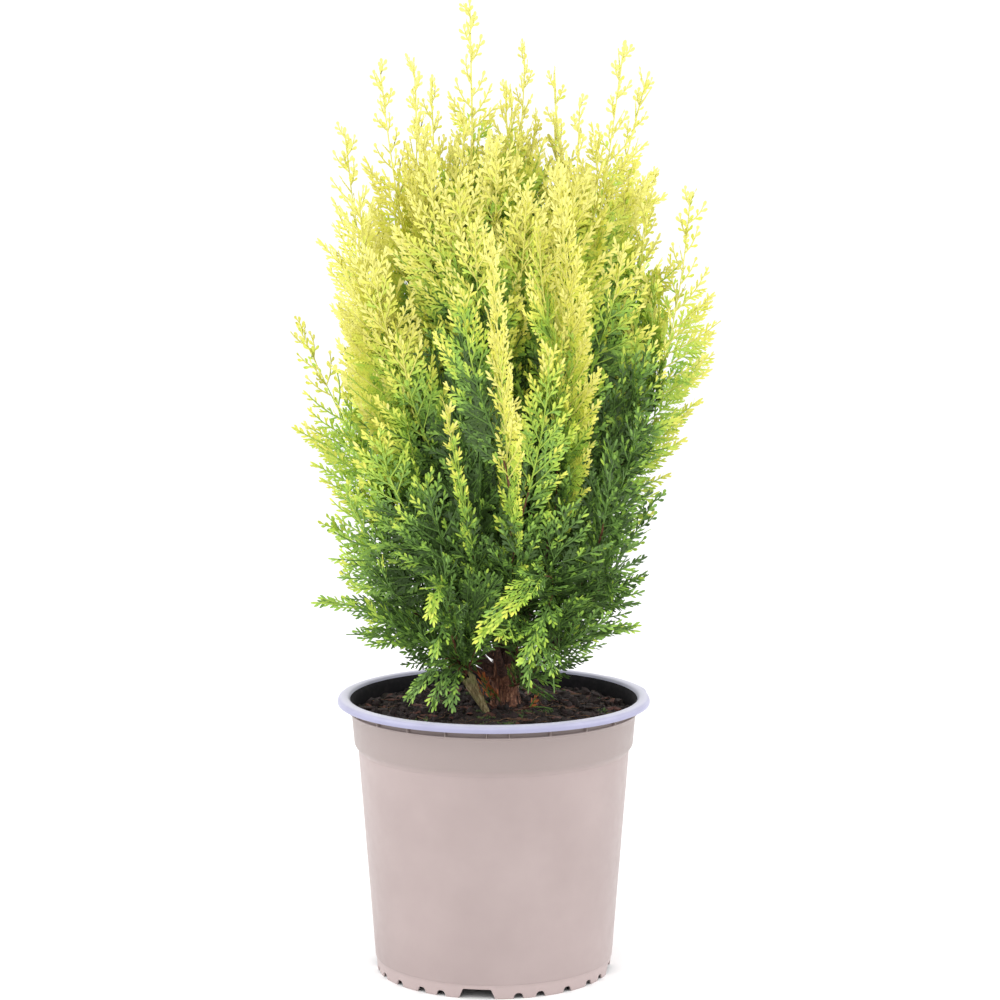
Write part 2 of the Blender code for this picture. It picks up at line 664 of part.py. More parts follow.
clear_scene()
make_pot(finish("taupe_plastic", (0.58, 0.47, 0.46), 0.45))
make_soil(finish("potting_soil", (0.020, 0.014, 0.010), 0.95))
plant(
    finish("bark", (0.16, 0.075, 0.040), 0.85),
    {
        "gold": finish("gold_foliage", (0.72, 0.72, 0.16), 0.6),
        "fresh": finish("fresh_foliage", (0.30, 0.46, 0.08), 0.6),
        "deep": finish("deep_foliage", (0.09, 0.17, 0.045), 0.65),
    },
)
centre_on_origin()
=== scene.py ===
import math

import bmesh
import bpy
import numpy as np
from mathutils import Matrix, Vector


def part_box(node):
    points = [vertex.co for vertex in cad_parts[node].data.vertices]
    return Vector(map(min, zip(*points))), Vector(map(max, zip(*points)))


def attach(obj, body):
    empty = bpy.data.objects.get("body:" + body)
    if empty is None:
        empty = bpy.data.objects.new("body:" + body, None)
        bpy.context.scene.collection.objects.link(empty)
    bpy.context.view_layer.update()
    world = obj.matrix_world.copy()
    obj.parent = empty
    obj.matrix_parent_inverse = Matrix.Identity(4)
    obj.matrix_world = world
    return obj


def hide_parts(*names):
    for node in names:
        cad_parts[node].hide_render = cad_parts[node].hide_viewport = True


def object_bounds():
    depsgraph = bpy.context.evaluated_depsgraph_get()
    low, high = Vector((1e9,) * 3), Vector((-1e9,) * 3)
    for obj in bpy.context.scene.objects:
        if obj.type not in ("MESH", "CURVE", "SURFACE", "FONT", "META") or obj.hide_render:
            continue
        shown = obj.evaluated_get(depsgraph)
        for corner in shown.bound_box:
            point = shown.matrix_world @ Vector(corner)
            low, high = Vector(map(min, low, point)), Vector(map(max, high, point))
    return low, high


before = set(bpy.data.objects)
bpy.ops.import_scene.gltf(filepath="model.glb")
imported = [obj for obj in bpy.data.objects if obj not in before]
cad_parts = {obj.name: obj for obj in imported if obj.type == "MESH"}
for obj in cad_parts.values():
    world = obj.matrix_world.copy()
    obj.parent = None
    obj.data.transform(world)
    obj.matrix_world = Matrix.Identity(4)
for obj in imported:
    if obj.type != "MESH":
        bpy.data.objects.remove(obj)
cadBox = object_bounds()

# everything is laid out round the pot's axis, in metres, and moved onto it when a mesh is made
potLow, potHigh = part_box("pot")
potAxis = np.array([(potLow.x + potHigh.x) / 2, (potLow.y + potHigh.y) / 2, 0.0])


def unit(vectors):
    return vectors / np.linalg.norm(vectors, axis=-1, keepdims=True)


def dot(a, b):
    return np.sum(a * b, axis=-1, keepdims=True)


def squareTo(axis, vectors):  # turned as little as it takes to stand square to the axis
    return unit(vectors - axis * dot(vectors, axis))


def rolled(axis, vectors, angle):
    return vectors * np.cos(angle) + np.cross(axis, vectors) * np.sin(angle)


def blend(first, last, share):
    return first + (last - first) * share


def ease(low, high, value):
    share = np.clip((value - low) / (high - low), 0, 1)
    return share * share * (3 - 2 * share)


def outward(azimuth):  # 0 is the front, 90 the right
    turn = np.radians(np.asarray(azimuth, float))
    return np.stack([np.sin(turn), -np.cos(turn), np.zeros_like(turn)], axis=-1)


def unevenness(points, size, seed, count=7):  # smooth, about -1.5 to 1.5, with waves of this size
    dice = np.random.default_rng(seed)
    total = np.zeros(points.shape[:-1])
    for _ in range(count):
        heading = unit(dice.normal(size=3)) * math.tau / (size * dice.uniform(0.6, 1.5))
        total += np.sin(points @ heading + dice.uniform(0, math.tau))
    return total / math.sqrt(count)


def paint(red, green, blue):  # a colour as a picker shows it, 0 to 255, made linear for the shader
    share = np.array([red, green, blue]) / 255
    linear = np.where(share <= 0.04045, share / 12.92, ((share + 0.055) / 1.055) ** 2.4)
    return (*(float(value) for value in linear), 1.0)


def addObject(name, data):
    made = bpy.data.objects.new(name, data)
    bpy.context.scene.collection.objects.link(made)
    return made


def declare(piece, nodes):
    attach(piece, "root")
    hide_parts(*nodes)


def addPiece(name, points, polygons, materials, slot, nodes, bands=None, smooth=True):
    mesh = bpy.data.meshes.new(name)
    corners = np.concatenate([np.asarray(faces).ravel() for faces in polygons])
    counts = np.concatenate([np.full(len(faces), np.shape(faces)[1]) for faces in polygons])
    mesh.vertices.add(len(points))
    mesh.vertices.foreach_set("co", (points + potAxis).astype(np.float32).ravel())
    mesh.loops.add(len(corners))
    mesh.loops.foreach_set("vertex_index", corners.astype(np.int32))
    mesh.polygons.add(len(counts))
    starts = np.concatenate(([0], np.cumsum(counts)[:-1]))
    mesh.polygons.foreach_set("loop_start", starts.astype(np.int32))
    mesh.polygons.foreach_set("use_smooth", np.full(len(counts), smooth))
    for material in materials:
        mesh.materials.append(material)
    if bands is not None:
        mesh.polygons.foreach_set("material_index", np.asarray(bands).astype(np.int32))
    mesh.update(calc_edges=True)
    declare(addObject(name, mesh), nodes)
    print(f"{name}: {int((counts - 2).sum())} triangles")


def gridFaces(rows, columns, closed=True):  # between rows of points, each a ring or a strip
    across = np.arange(columns if closed else columns - 1)
    row = np.arange(rows - 1)[:, None] * columns
    here, there = row + across, row + (across + 1) % columns
    faces = np.stack([here, here + columns, there + columns, there], axis=-1)
    return faces.reshape(-1, 4)


def repeatFaces(faces, count, step, start=0):  # the same faces on each of count copies of step points
    offsets = (np.arange(count) * step)[:, None, None] + start
    return (faces[None] + offsets).reshape(-1, faces.shape[1])


def ringsAround(across, other, sides):
    turn = np.arange(sides) * math.tau / sides
    return across[..., None, :] * np.cos(turn)[:, None] + other[..., None, :] * np.sin(turn)[:, None]


def tubesAlong(spines, radii, sides):  # spines: tube, station, xyz. Open tubes, ends drawn nearly shut
    along = unit(np.gradient(spines, axis=1))
    across = unit(np.cross(along, np.array([0.31, 0.17, 0.93])))
    ring = ringsAround(across, np.cross(along, across), sides)
    points = spines[:, :, None] + ring * radii[:, :, None, None]
    count, stations, _ = spines.shape
    return points.reshape(-1, 3), repeatFaces(gridFaces(stations, sides), count, stations * sides)


# materials

def newMaterial(name, colour, roughness):
    material = bpy.data.materials.new(name)
    material.use_nodes = True
    shader = material.node_tree.nodes["Principled BSDF"]
    shader.inputs["Base Color"].default_value = paint(*colour)
    shader.inputs["Roughness"].default_value = roughness
    return material, shader


def addNode(tree, kind, inputs, **settings):  # an input is a value, or the socket that feeds it
    node = tree.nodes.new("ShaderNode" + kind)
    for name, value in settings.items():
        setattr(node, name, value)
    for name, value in inputs.items():
        if isinstance(value, bpy.types.NodeSocket):
            tree.links.new(value, node.inputs[name])
        else:
            node.inputs[name].default_value = value
    return node


def addNoise(tree, scale, detail=3.0, roughness=0.55, stretch=None):
    place = addNode(tree, "TexCoord", {}).outputs["Object"]
    if stretch:
        place = addNode(tree, "Mapping", {"Vector": place, "Scale": stretch}).outputs["Vector"]
    inputs = {"Vector": place, "Scale": scale, "Detail": detail, "Roughness": roughness}
    return addNode(tree, "TexNoise", inputs).outputs["Fac"]


def addRamp(tree, factor, *stops):
    ramp = addNode(tree, "ValToRGB", {"Fac": factor})
    elements = ramp.color_ramp.elements
    while len(elements) < len(stops):
        elements.new(0.5)
    for element, (position, colour) in zip(elements, stops):
        element.position = position
        element.color = paint(*colour)
    return ramp.outputs["Color"]


def addMix(tree, factor, first, colour):
    inputs = {"Factor": factor, "A": first, "B": paint(*colour)}
    return addNode(tree, "Mix", inputs, data_type="RGBA").outputs["Result"]


def addRange(tree, value, fromLow, fromHigh, toLow, toHigh):
    inputs = {"Value": value, "From Min": fromLow, "From Max": fromHigh, "To Min": toLow, "To Max": toHigh}
    return addNode(tree, "MapRange", inputs).outputs["Result"]


def heightRange(tree, *limits):  # a share that changes between two heights of the object
    place = addNode(tree, "TexCoord", {}).outputs["Object"]
    height = addNode(tree, "SeparateXYZ", {"Vector": place}).outputs["Z"]
    return addRange(tree, height, *limits)


def addBump(tree, shader, height, distance, strength):
    inputs = {"Height": height, "Distance": distance, "Strength": strength}
    earlier = shader.inputs["Normal"].links
    if earlier:
        inputs["Normal"] = earlier[0].from_socket
    bump = addNode(tree, "Bump", inputs)
    tree.links.new(bump.outputs["Normal"], shader.inputs["Normal"])


# camera, level with the foliage and looking slightly down, as in the photograph

cameraView = {"place": (0.0034, -1.6, 0.4733), "downward": 7.638, "lens": 107.58, "sensor": 36.0}

camera = addObject("camera", bpy.data.cameras.new("camera"))
camera.location = potAxis + np.array(cameraView["place"])
camera.rotation_euler = (math.radians(90 - cameraView["downward"]), 0, 0)
camera.data.lens = cameraView["lens"]
camera.data.sensor_width = cameraView["sensor"]
camera.data.clip_end = 20
bpy.context.scene.camera = camera
print("camera set")


# pot

potSizes = {
    "columns": 720,
    "wallLine": ((0, 0.064), (0.1222, 0.0738), (0.1262, 0.0760), (0.148, 0.0778)),
    "wall": 0.0013,
    "footBandHeight": 0.0076,
    "bodyTop": (0.0738, 0.1217),
    "bodyTaper": 0.07688,  # leaves the body a little wider than the foot band
    "floorHeight": 0.0062,
    "drainAzimuths": (-8, 82, 172, 262),
    "drainWidth": 0.0197,
    "drainTopWidth": 0.015,
    "drainHeight": 0.0053,
    "biteOffsets": (20, 31, 46, 61, 72),
    "biteWidth": 0.0052,
    "biteHeight": 0.003,
    "holeRadius": 0.006,
    "holeReach": 0.048,
    "ribs": 11,  # each way
    "ribStep": 16,
    "ribStarts": (-2.6, 6.0),  # the ribs under the lip run round both ways from here
    "ribHalfWidth": 0.0003,
    "ribFoot": 0.0779,
    "ribEnds": ((0.1446, 0.0799), (0.1501, 0.0806)),  # height and reach, low and high
    "tab": (97, 131, 0.0014),  # from and to which azimuth the lip stands wider, and by how much
}
potColours = {
    "taupe": (167, 151, 149),
    "taupeDeep": (162, 146, 144),
    "taupePale": (173, 157, 155),
    # painted shadow of the lip, laid over the band and neck
    "paintedLipShadow": (149, 136, 133),
    # grime and painted shade in the recess under the lip
    "grimeAndShadeUnderLip": (112, 98, 94),
    "footPink": (184, 167, 165),
    "lip": (164, 163, 188),
    # painted shade on the lip's lower flank
    "lipPale": (178, 177, 202),
    "lipFlankPaintedShade": (150, 150, 180),
    # painted highlight along the lip's top
    "lipTopPaintedHighlight": (206, 204, 222),
    "inside": (19, 17, 22),
    "insideDust": (38, 33, 37),
}


def wallRadius(height):
    heights, radii = zip(*potSizes["wallLine"])
    return np.interp(height, heights, radii)


def innerRadius(height):
    return wallRadius(height) - potSizes["wall"]


def footEdge(azimuth):  # how high the foot's lower edge stands at each azimuth: drains and bites
    edge = np.zeros_like(azimuth)

    def across(middle):
        return np.radians(np.abs((azimuth - middle + 180) % 360 - 180)) * wallRadius(0)

    low, top = potSizes["drainWidth"] / 2, potSizes["drainTopWidth"] / 2
    half = potSizes["biteWidth"] / 2
    for drain in potSizes["drainAzimuths"]:
        slope = np.clip((low - across(drain)) / (low - top), 0, 1)
        edge = np.maximum(edge, potSizes["drainHeight"] * slope)
        for offset in potSizes["biteOffsets"]:
            arch = np.clip(1 - (across(drain + offset) / half) ** 3, 0, 1)
            edge = np.maximum(edge, potSizes["biteHeight"] * np.sqrt(arch))
    return edge


def makePotMaterials():
    shades = potColours
    taupe, shader = newMaterial("taupeMouldedPlastic", shades["taupe"], 0.4)
    tree = taupe.node_tree
    stops = (0.3, shades["taupeDeep"]), (0.52, shades["taupe"]), (0.75, shades["taupePale"])
    colour = addRamp(tree, addNoise(tree, 22, 4), *stops)
    specks = addRange(tree, addNoise(tree, 2600, 1), 0.66, 0.74, 0, 0.35)
    colour = addMix(tree, specks, colour, shades["taupeDeep"])
    for shade, *limits in (
        ("footPink", 0.0076, 0.0079, 0.7, 0),
        # painted shadow of the lip: the band and neck darker above the shoulder
        ("paintedLipShadow", 0.1232, 0.1262, 0, 0.75),
        # grime and painted shade in the recess under the lip
        ("grimeAndShadeUnderLip", 0.1444, 0.1452, 0, 0.8),
    ):
        colour = addMix(tree, heightRange(tree, *limits), colour, shades[shade])
    tree.links.new(colour, shader.inputs["Base Color"])
    tree.links.new(addRange(tree, addNoise(tree, 140, 3), 0.3, 0.7, 0.34, 0.47), shader.inputs["Roughness"])
    addBump(tree, shader, addNoise(tree, 1500, 2), 0.00006, 0.5)
    addBump(tree, shader, addNoise(tree, 90, 2), 0.0003, 0.25)

    lip, shader = newMaterial("lilacLipPlastic", shades["lip"], 0.3)
    tree = lip.node_tree
    colour = addRamp(tree, addNoise(tree, 60, 3), (0.35, shades["lip"]), (0.7, shades["lipPale"]))
    # the lip's lower flank painted darker as shade, its top painted paler as a highlight
    for shade, *limits in (("lipFlankPaintedShade", 0.1495, 0.1512, 0.7, 0), ("lipTopPaintedHighlight", 0.1512, 0.1518, 0, 0.8)):
        colour = addMix(tree, heightRange(tree, *limits), colour, shades[shade])
    tree.links.new(colour, shader.inputs["Base Color"])
    tree.links.new(addRange(tree, addNoise(tree, 40, 2), 0.3, 0.7, 0.28, 0.34), shader.inputs["Roughness"])
    addBump(tree, shader, addNoise(tree, 60, 2), 0.00004, 0.1)

    inside, shader = newMaterial("blackInnerPlastic", shades["inside"], 0.8)
    shader.inputs["Specular IOR Level"].default_value = 0.2
    tree = inside.node_tree
    colour = addRamp(tree, addNoise(tree, 260, 4), (0.45, shades["inside"]), (0.8, shades["insideDust"]))
    tree.links.new(colour, shader.inputs["Base Color"])
    addBump(tree, shader, addNoise(tree, 500, 3), 0.0002, 0.5)
    return taupe, lip, inside


def potOutline():  # radius, height and material, up the inside, over the lip and down the outside
    inside = [(innerRadius(z), z) for z in (0.0075, 0.06, 0.11, 0.1222, 0.1262, 0.135, 0.143, 0.1475)]
    inside += [(0.0773, 0.1494), (0.0782, 0.1503)]
    lip = (
        (0.0785, 0.1508), (0.0789, 0.15135), (0.0795, 0.1517), (0.0803, 0.1519), (0.0818, 0.1519),
        (0.0829, 0.15175), (0.0838, 0.1514), (0.0844, 0.1509), (0.0848, 0.1502), (0.085, 0.1494),
        (0.085, 0.1486), (0.0849, 0.1482), (0.0846, 0.148), (0.0842, 0.148), (0.0839, 0.1482),
        (0.0838, 0.149), (0.0835, 0.1498), (0.0829, 0.1503), (0.082, 0.1505),
    )
    neck = (
        (0.0795, 0.1505), (0.0786, 0.1502), (0.0782, 0.1495), (0.0782, 0.1475), (0.0782, 0.1452),
        (0.0784, 0.1447), (0.0789, 0.14455), (0.0792, 0.1443), (0.0792, 0.144), (0.0788, 0.1436),
        (0.078, 0.1431), (0.0775, 0.1427),
    )
    band = [(wallRadius(z), z) for z in (0.141, 0.138, 0.134, 0.13, 0.1275)]
    shoulder = (
        (0.07596, 0.1264), (0.0758, 0.1257), (0.0753, 0.1248), (0.0747, 0.1239), (0.0741, 0.12305),
        (0.07375, 0.1224), (0.0736, 0.1221), (0.07372, 0.1217),
    )
    widest, top = potSizes["bodyTop"]
    body = [(widest - (top - z) * potSizes["bodyTaper"], z) for z in np.linspace(0.1205, 0.0084, 18)]
    foot = ((0.06505, 0.0081), (0.0649, 0.00785), (0.06465, 0.0076))
    parts = ((2, inside), (1, lip), (0, neck), (0, band), (0, shoulder), (0, body), (0, foot))
    return [(radius, height, material) for material, part in parts for radius, height in part]


def ribBoxes(first):  # the ribs under the lip, open to the neck; their corners follow the first given
    steps = potSizes["ribStep"] * np.arange(potSizes["ribs"])
    begin, onward = potSizes["ribStarts"]
    half = potSizes["ribHalfWidth"]
    points, faces = [], []
    for azimuth in (*(begin - steps), *(onward + steps)):
        out = outward(azimuth)
        side = np.array([-out[1], out[0], 0]) * half
        base = first + len(points)
        for height, reach in potSizes["ribEnds"]:
            for radius, wider in ((potSizes["ribFoot"], 1.4), (reach, 1.0)):
                points += [out * radius + side * wider * way + (0, 0, height) for way in (-1, 1)]
        faces += [[base + i for i in quad] for quad in
                  ((2, 3, 7, 6), (0, 2, 6, 4), (3, 1, 5, 7), (0, 1, 3, 2), (4, 6, 7, 5))]
    return np.array(points), np.array(faces)


def makePot():
    azimuth = np.arange(potSizes["columns"]) * 360 / potSizes["columns"]
    around = outward(azimuth)
    outline = potOutline()
    rings = [around * radius + (0, 0, height) for radius, height, _ in outline]
    edge, floor = footEdge(azimuth), potSizes["floorHeight"]
    for share, inset in ((0.75, 0), (0.5, 0), (0.25, 0), (0.08, 0), (0, 0.00015), (0, 0.0011), (0.1, 0.0013)):
        height = blend(edge, potSizes["footBandHeight"] - 0.0002, share)
        rings.append(around * (wallRadius(height) - inset)[:, None] + height[:, None] * (0, 0, 1))
    rings.append(around * innerRadius(floor) + (0, 0, floor))
    bands = [band for _, _, band in outline] + [0] * (len(rings) - len(outline))
    points = np.array(rings)
    wave = unevenness(points, 0.05, 3)[..., None] * 0.00006  # moulded plastic is never quite true
    lively = ((points[..., 2] > 0.012) & (points[..., 2] < 0.141))[..., None]
    points = points - around * np.abs(wave) * lively
    begin, end, wider = potSizes["tab"]
    tab = ease(begin, begin + 8, azimuth) * (1 - ease(end - 1, end, azimuth)) * wider
    outerLip = ease(0.0826, 0.0845, np.hypot(points[..., 0], points[..., 1])) * (points[..., 2] > 0.1475)
    points = points + around * (tab * outerLip)[..., None]
    ribPoints, ribFaces = ribBoxes(points.shape[0] * points.shape[1])
    taupe, lip, inside = makePotMaterials()
    addPiece(
        "potShell", np.concatenate([points.reshape(-1, 3), ribPoints]),
        [gridFaces(len(rings), potSizes["columns"]), ribFaces], [taupe, lip, inside], "pot_plastic", ["pot"],
        bands=np.concatenate([np.repeat(bands[1:], potSizes["columns"]), np.zeros(len(ribFaces))]),
    )
    makePotFloor(inside)


def meshOfCones(name, cones):  # of each its sides, radii below and above, depth and middle
    bm = bmesh.new()
    for sides, below, above, depth, middle in cones:
        bmesh.ops.create_cone(bm, cap_ends=True, segments=sides, radius1=below, radius2=above, depth=depth,
                              matrix=Matrix.Translation(middle))
    mesh = bpy.data.meshes.new(name)
    bm.to_mesh(mesh)
    bm.free()
    return mesh


def makePotFloor(material):  # a plate with its four drain holes cut through
    thickness, low = potSizes["wall"], potSizes["floorHeight"]
    hole = potSizes["holeRadius"]
    plate = (180, innerRadius(low), innerRadius(low + thickness), thickness, (0, 0, low + thickness / 2))
    floor = addObject("potFloor", meshOfCones("potFloor", [plate]))
    middles = outward(potSizes["drainAzimuths"]) * potSizes["holeReach"] + (0, 0, low)
    holes = [(40, hole, hole * 1.1, thickness * 4, middle) for middle in middles]
    punch = addObject("punches", meshOfCones("punches", holes))
    cut = floor.modifiers.new("holes", "BOOLEAN")
    cut.object, cut.operation, cut.solver = punch, "DIFFERENCE", "EXACT"
    edges = floor.modifiers.new("soft edges", "BEVEL")
    edges.width, edges.segments = 0.0002, 2
    bpy.context.view_layer.update()
    shaped = bpy.data.meshes.new_from_object(floor.evaluated_get(bpy.context.evaluated_depsgraph_get()))
    floor.modifiers.clear()
    floor.data = shaped
    shaped.transform(Matrix.Translation(potAxis))
    shaped.materials.clear()
    shaped.materials.append(material)
    bpy.data.objects.remove(punch)
    declare(floor, ["pot"])


makePot()
print("pot made")


# soil

soilSizes = {
    "edgeHeight": 0.1425,
    "gap": 0.0003,  # to the pot's wall
    "skirt": (0.13, 0.1222, 0.06, 0.0079),  # heights down the wall, to the floor
    "crownHeight": 0.1446,
    "flatRadius": 0.030,
    "lumpyOver": 0.02,
    "lump": 0.0010,
    "rings": 96,
    "columns": 264,
    "crumbs": 3000,
    "crumbSizes": (0.0008, 0.5, 0.0004, 0.0022, 1.2),  # usual size, its spread, least, most, broadest
    "clods": 190,
    "clodSizes": (0.0024, 0.35, 0.0014, 0.0042, 1.15),
    "chips": 260,
    "chipLengths": (0.0016, 0.0058),
    "chipDepths": (0.0004, 0.0010),
    "fibres": 150,
    "fibreLengths": (0.003, 0.009),
    "fibreRadius": 0.00014,
    "mossTufts": 34,
    "tuftCrumbs": 34,
    "tuftSpread": 0.0022,
    "seed": 11,
}
soilNode = ("potting_soil", ["potting_soil"])  # slot and replaced node
soilColours = {
    "wet": (19, 15, 15),
    "dry": (56, 44, 40),
    "redBark": (112, 68, 56),
    "darkBark": (60, 38, 32),
    "clod": (58, 41, 40),
    "fibre": (142, 108, 80),
    "fibreShade": (92, 68, 50),
    "moss": (98, 122, 66),
    "mossShade": (38, 50, 26),
}


def soilHeight(x, y):  # the solid's mound, its edge filled up a little by loose peat
    reach = np.hypot(x, y)
    rise = 1 - ease(soilSizes["flatRadius"], innerRadius(soilSizes["edgeHeight"]), reach)
    lumps = np.sin(x * 260 + 1.3) * np.sin(y * 230 + 0.4) + 0.6 * np.sin(x * 410 - y * 350)
    lumpy = ease(soilSizes["flatRadius"], soilSizes["flatRadius"] + soilSizes["lumpyOver"], reach)
    return blend(soilSizes["edgeHeight"], soilSizes["crownHeight"], rise) + soilSizes["lump"] * lumps * lumpy


def earthMaterial(name, dark, light, scale, roughness, bump):
    material, shader = newMaterial(name, dark, roughness)
    tree = material.node_tree
    colour = addRamp(tree, addNoise(tree, scale, 5, 0.65), (0.32, dark), (0.72, light))
    tree.links.new(colour, shader.inputs["Base Color"])
    addBump(tree, shader, addNoise(tree, scale * 2.5, 4), bump, 0.9)
    return material


def turnsAbout(dice, count, tilt):  # rotation matrices: any heading, tipped by up to tilt radians
    yaw = dice.uniform(0, math.tau, count)
    lean = dice.uniform(0, math.tau, count)
    tip = dice.uniform(0, tilt, count)
    c, s, zero, one = np.cos(yaw), np.sin(yaw), np.zeros(count), np.ones(count)
    spin = np.array([[c, -s, zero], [s, c, zero], [zero, zero, one]]).transpose(2, 0, 1)
    ax, ay = np.cos(lean), np.sin(lean)
    k = np.array([[zero, zero, ay], [zero, zero, -ax], [-ay, ax, zero]]).transpose(2, 0, 1)
    bend = np.eye(3) + np.sin(tip)[:, None, None] * k + (1 - np.cos(tip))[:, None, None] * (k @ k)
    return bend @ spin


def spotsOnSoil(dice, count, outer, clear=0.008):  # random places, clear of the trunk's foot
    spots = np.empty((0, 2))
    while len(spots) < count:
        radius = np.sqrt(dice.uniform(0, 1, count)) * outer
        turn = dice.uniform(0, math.tau, count)
        more = np.stack([radius * np.cos(turn), radius * np.sin(turn)], -1)
        away = np.hypot(more[:, 0] - trunkFoot[0], more[:, 1] - trunkFoot[1]) > clear
        spots = np.concatenate([spots, more[away]])
    spots = spots[:count]
    return np.column_stack([spots, soilHeight(spots[:, 0], spots[:, 1])])


def scatter(name, material, template, places, sizes, tilt, jitter, dice):
    points, faces = template
    shapes = points[None] * dice.uniform(1 - jitter, 1 + jitter, (len(places), len(points), 1))
    shapes = shapes * sizes[:, None, :]
    shapes = shapes @ turnsAbout(dice, len(places), tilt).transpose(0, 2, 1) + places[:, None]
    faces = repeatFaces(faces, len(places), len(points))
    addPiece(name, shapes.reshape(-1, 3), [faces], [material], *soilNode, smooth=False)


def lumpSizes(dice, count, usual, spread, least, most, broadest):
    size = np.clip(dice.lognormal(math.log(usual), spread, count), least, most)
    return size[:, None] * dice.uniform(0.6, broadest, (count, 3))


def ballShape():
    bm = bmesh.new()
    bmesh.ops.create_icosphere(bm, subdivisions=1, radius=1)
    points = np.array([vert.co for vert in bm.verts])
    faces = np.array([[vert.index for vert in face.verts] for face in bm.faces])
    bm.free()
    return points, faces


def chipShape():  # a flat, six-cornered splinter
    points = np.array([
        (-1, -0.7, -0.5), (-0.2, -1, -0.6), (0.9, -0.6, -0.5),
        (1, 0.5, -0.4), (0.1, 1, -0.5), (-0.9, 0.6, -0.5),
        (-0.9, -0.6, 0.5), (-0.1, -0.9, 0.7), (0.8, -0.5, 0.5),
        (0.9, 0.5, 0.6), (0.1, 0.8, 0.6), (-0.8, 0.5, 0.4),
    ])
    sides = [(i, (i + 1) % 6, (i + 1) % 6 + 6, i + 6) for i in range(6)]
    return points, np.array([*sides, (3, 2, 1, 0), (5, 4, 3, 0), (9, 8, 7, 6), (11, 10, 9, 6)])


def makeMound(peat, edge):
    radii = np.linspace(0.0002, edge, soilSizes["rings"])
    azimuth = np.arange(soilSizes["columns"]) * 360 / soilSizes["columns"]
    points = outward(azimuth)[None] * radii[:, None, None]
    height = soilHeight(points[..., 0], points[..., 1])
    inner = ease(0.004, 0.02, np.hypot(points[..., 0] - trunkFoot[0], points[..., 1] - trunkFoot[1]))
    rough = 0.0005 * unevenness(points, 0.009, 21) + 0.0004 * unevenness(points, 0.0035, 22)
    points[..., 2] = height + rough * (0.3 + 0.7 * inner)
    skirt = [outward(azimuth) * (innerRadius(z) - soilSizes["gap"]) + (0, 0, z) for z in soilSizes["skirt"]]
    skirt.append(outward(azimuth) * 0.0002 + (0, 0, soilSizes["skirt"][-1]))
    points = np.concatenate([points, np.array(skirt)])
    faces = gridFaces(len(points), soilSizes["columns"])[:, ::-1]
    addPiece("pottingSoil", points.reshape(-1, 3), [faces], [peat], *soilNode)


def makeCrumbs(peat, edge, ball, dice):
    places = spotsOnSoil(dice, soilSizes["crumbs"], edge - 0.002)
    sizes = lumpSizes(dice, len(places), *soilSizes["crumbSizes"])
    scatter("soilCrumbs", peat, ball, places, sizes, 1.2, 0.28, dice)

    # larger clods, heaped a little against the pot's wall
    places = spotsOnSoil(dice, soilSizes["clods"], edge - 0.004, 0.010)
    places[:, 2] += 0.0006 + 0.0012 * ease(0.045, 0.068, np.hypot(places[:, 0], places[:, 1]))
    sizes = lumpSizes(dice, len(places), *soilSizes["clodSizes"])
    clods = earthMaterial("peatClods", soilColours["wet"], soilColours["clod"], 420, 0.9, 0.0007)
    scatter("peatClods", clods, ball, places, sizes, 1.2, 0.3, dice)


def makeBarkChips(edge, dice):
    for name, share, dark, light in (
        ("redBarkChips", 0.45, soilColours["darkBark"], soilColours["redBark"]),
        ("darkBarkChips", 0.55, soilColours["wet"], soilColours["darkBark"]),
    ):
        count = int(soilSizes["chips"] * share)
        places = spotsOnSoil(dice, count, edge - 0.006, 0.011)
        places[:, 2] += 0.0006
        length = dice.uniform(*soilSizes["chipLengths"], count)
        breadth = length * dice.uniform(0.3, 0.6, count)
        depth = dice.uniform(*soilSizes["chipDepths"], count)
        material = earthMaterial(name, dark, light, 700, 0.85, 0.0004)
        sizes = np.column_stack([length, breadth, depth])
        scatter(name, material, chipShape(), places, sizes, 0.45, 0.12, dice)


def makeMoss(edge, ball, dice):  # small tufts of finer crumbs
    tufts = spotsOnSoil(dice, soilSizes["mossTufts"], edge - 0.008, 0.012)
    places = np.repeat(tufts, soilSizes["tuftCrumbs"], axis=0)
    places[:, :2] += dice.normal(0, soilSizes["tuftSpread"], (len(places), 2))
    places[:, 2] = soilHeight(places[:, 0], places[:, 1]) + dice.uniform(0.0003, 0.0014, len(places))
    sizes = dice.uniform(0.0003, 0.0007, (len(places), 1)) * dice.uniform(0.7, 1.3, (len(places), 3))
    material = earthMaterial("darkMoss", soilColours["mossShade"], soilColours["moss"], 900, 0.9, 0.0003)
    scatter("mossTufts", material, ball, places, sizes, 1.2, 0.2, dice)


def makeFibres(edge, dice):  # with old roots among them, thin three-sided strands
    count = soilSizes["fibres"]
    places = spotsOnSoil(dice, count, edge - 0.010, 0.008)
    places[:, 2] += 0.0011
    length = dice.uniform(*soilSizes["fibreLengths"], (count, 1))
    t = np.linspace(-1, 1, 6)
    arch = (t ** 2)[None]
    aside = arch * length * dice.uniform(-0.6, 0.6, (count, 1))
    sunk = -arch * 0.0009 * dice.uniform(0, 1, (count, 1))
    spine = np.stack([np.broadcast_to(t, (count, 6)) * length, aside, sunk], -1)
    spine = spine @ turnsAbout(dice, count, 0.15).transpose(0, 2, 1) + places[:, None]
    radii = np.full((count, 6), soilSizes["fibreRadius"]) * dice.uniform(0.7, 1.6, (count, 1))
    strands, faces = tubesAlong(spine, radii, 3)
    material = earthMaterial("peatFibres", soilColours["fibreShade"], soilColours["fibre"], 500, 0.9, 0.0001)
    addPiece("peatFibres", strands, [faces], [material], *soilNode)


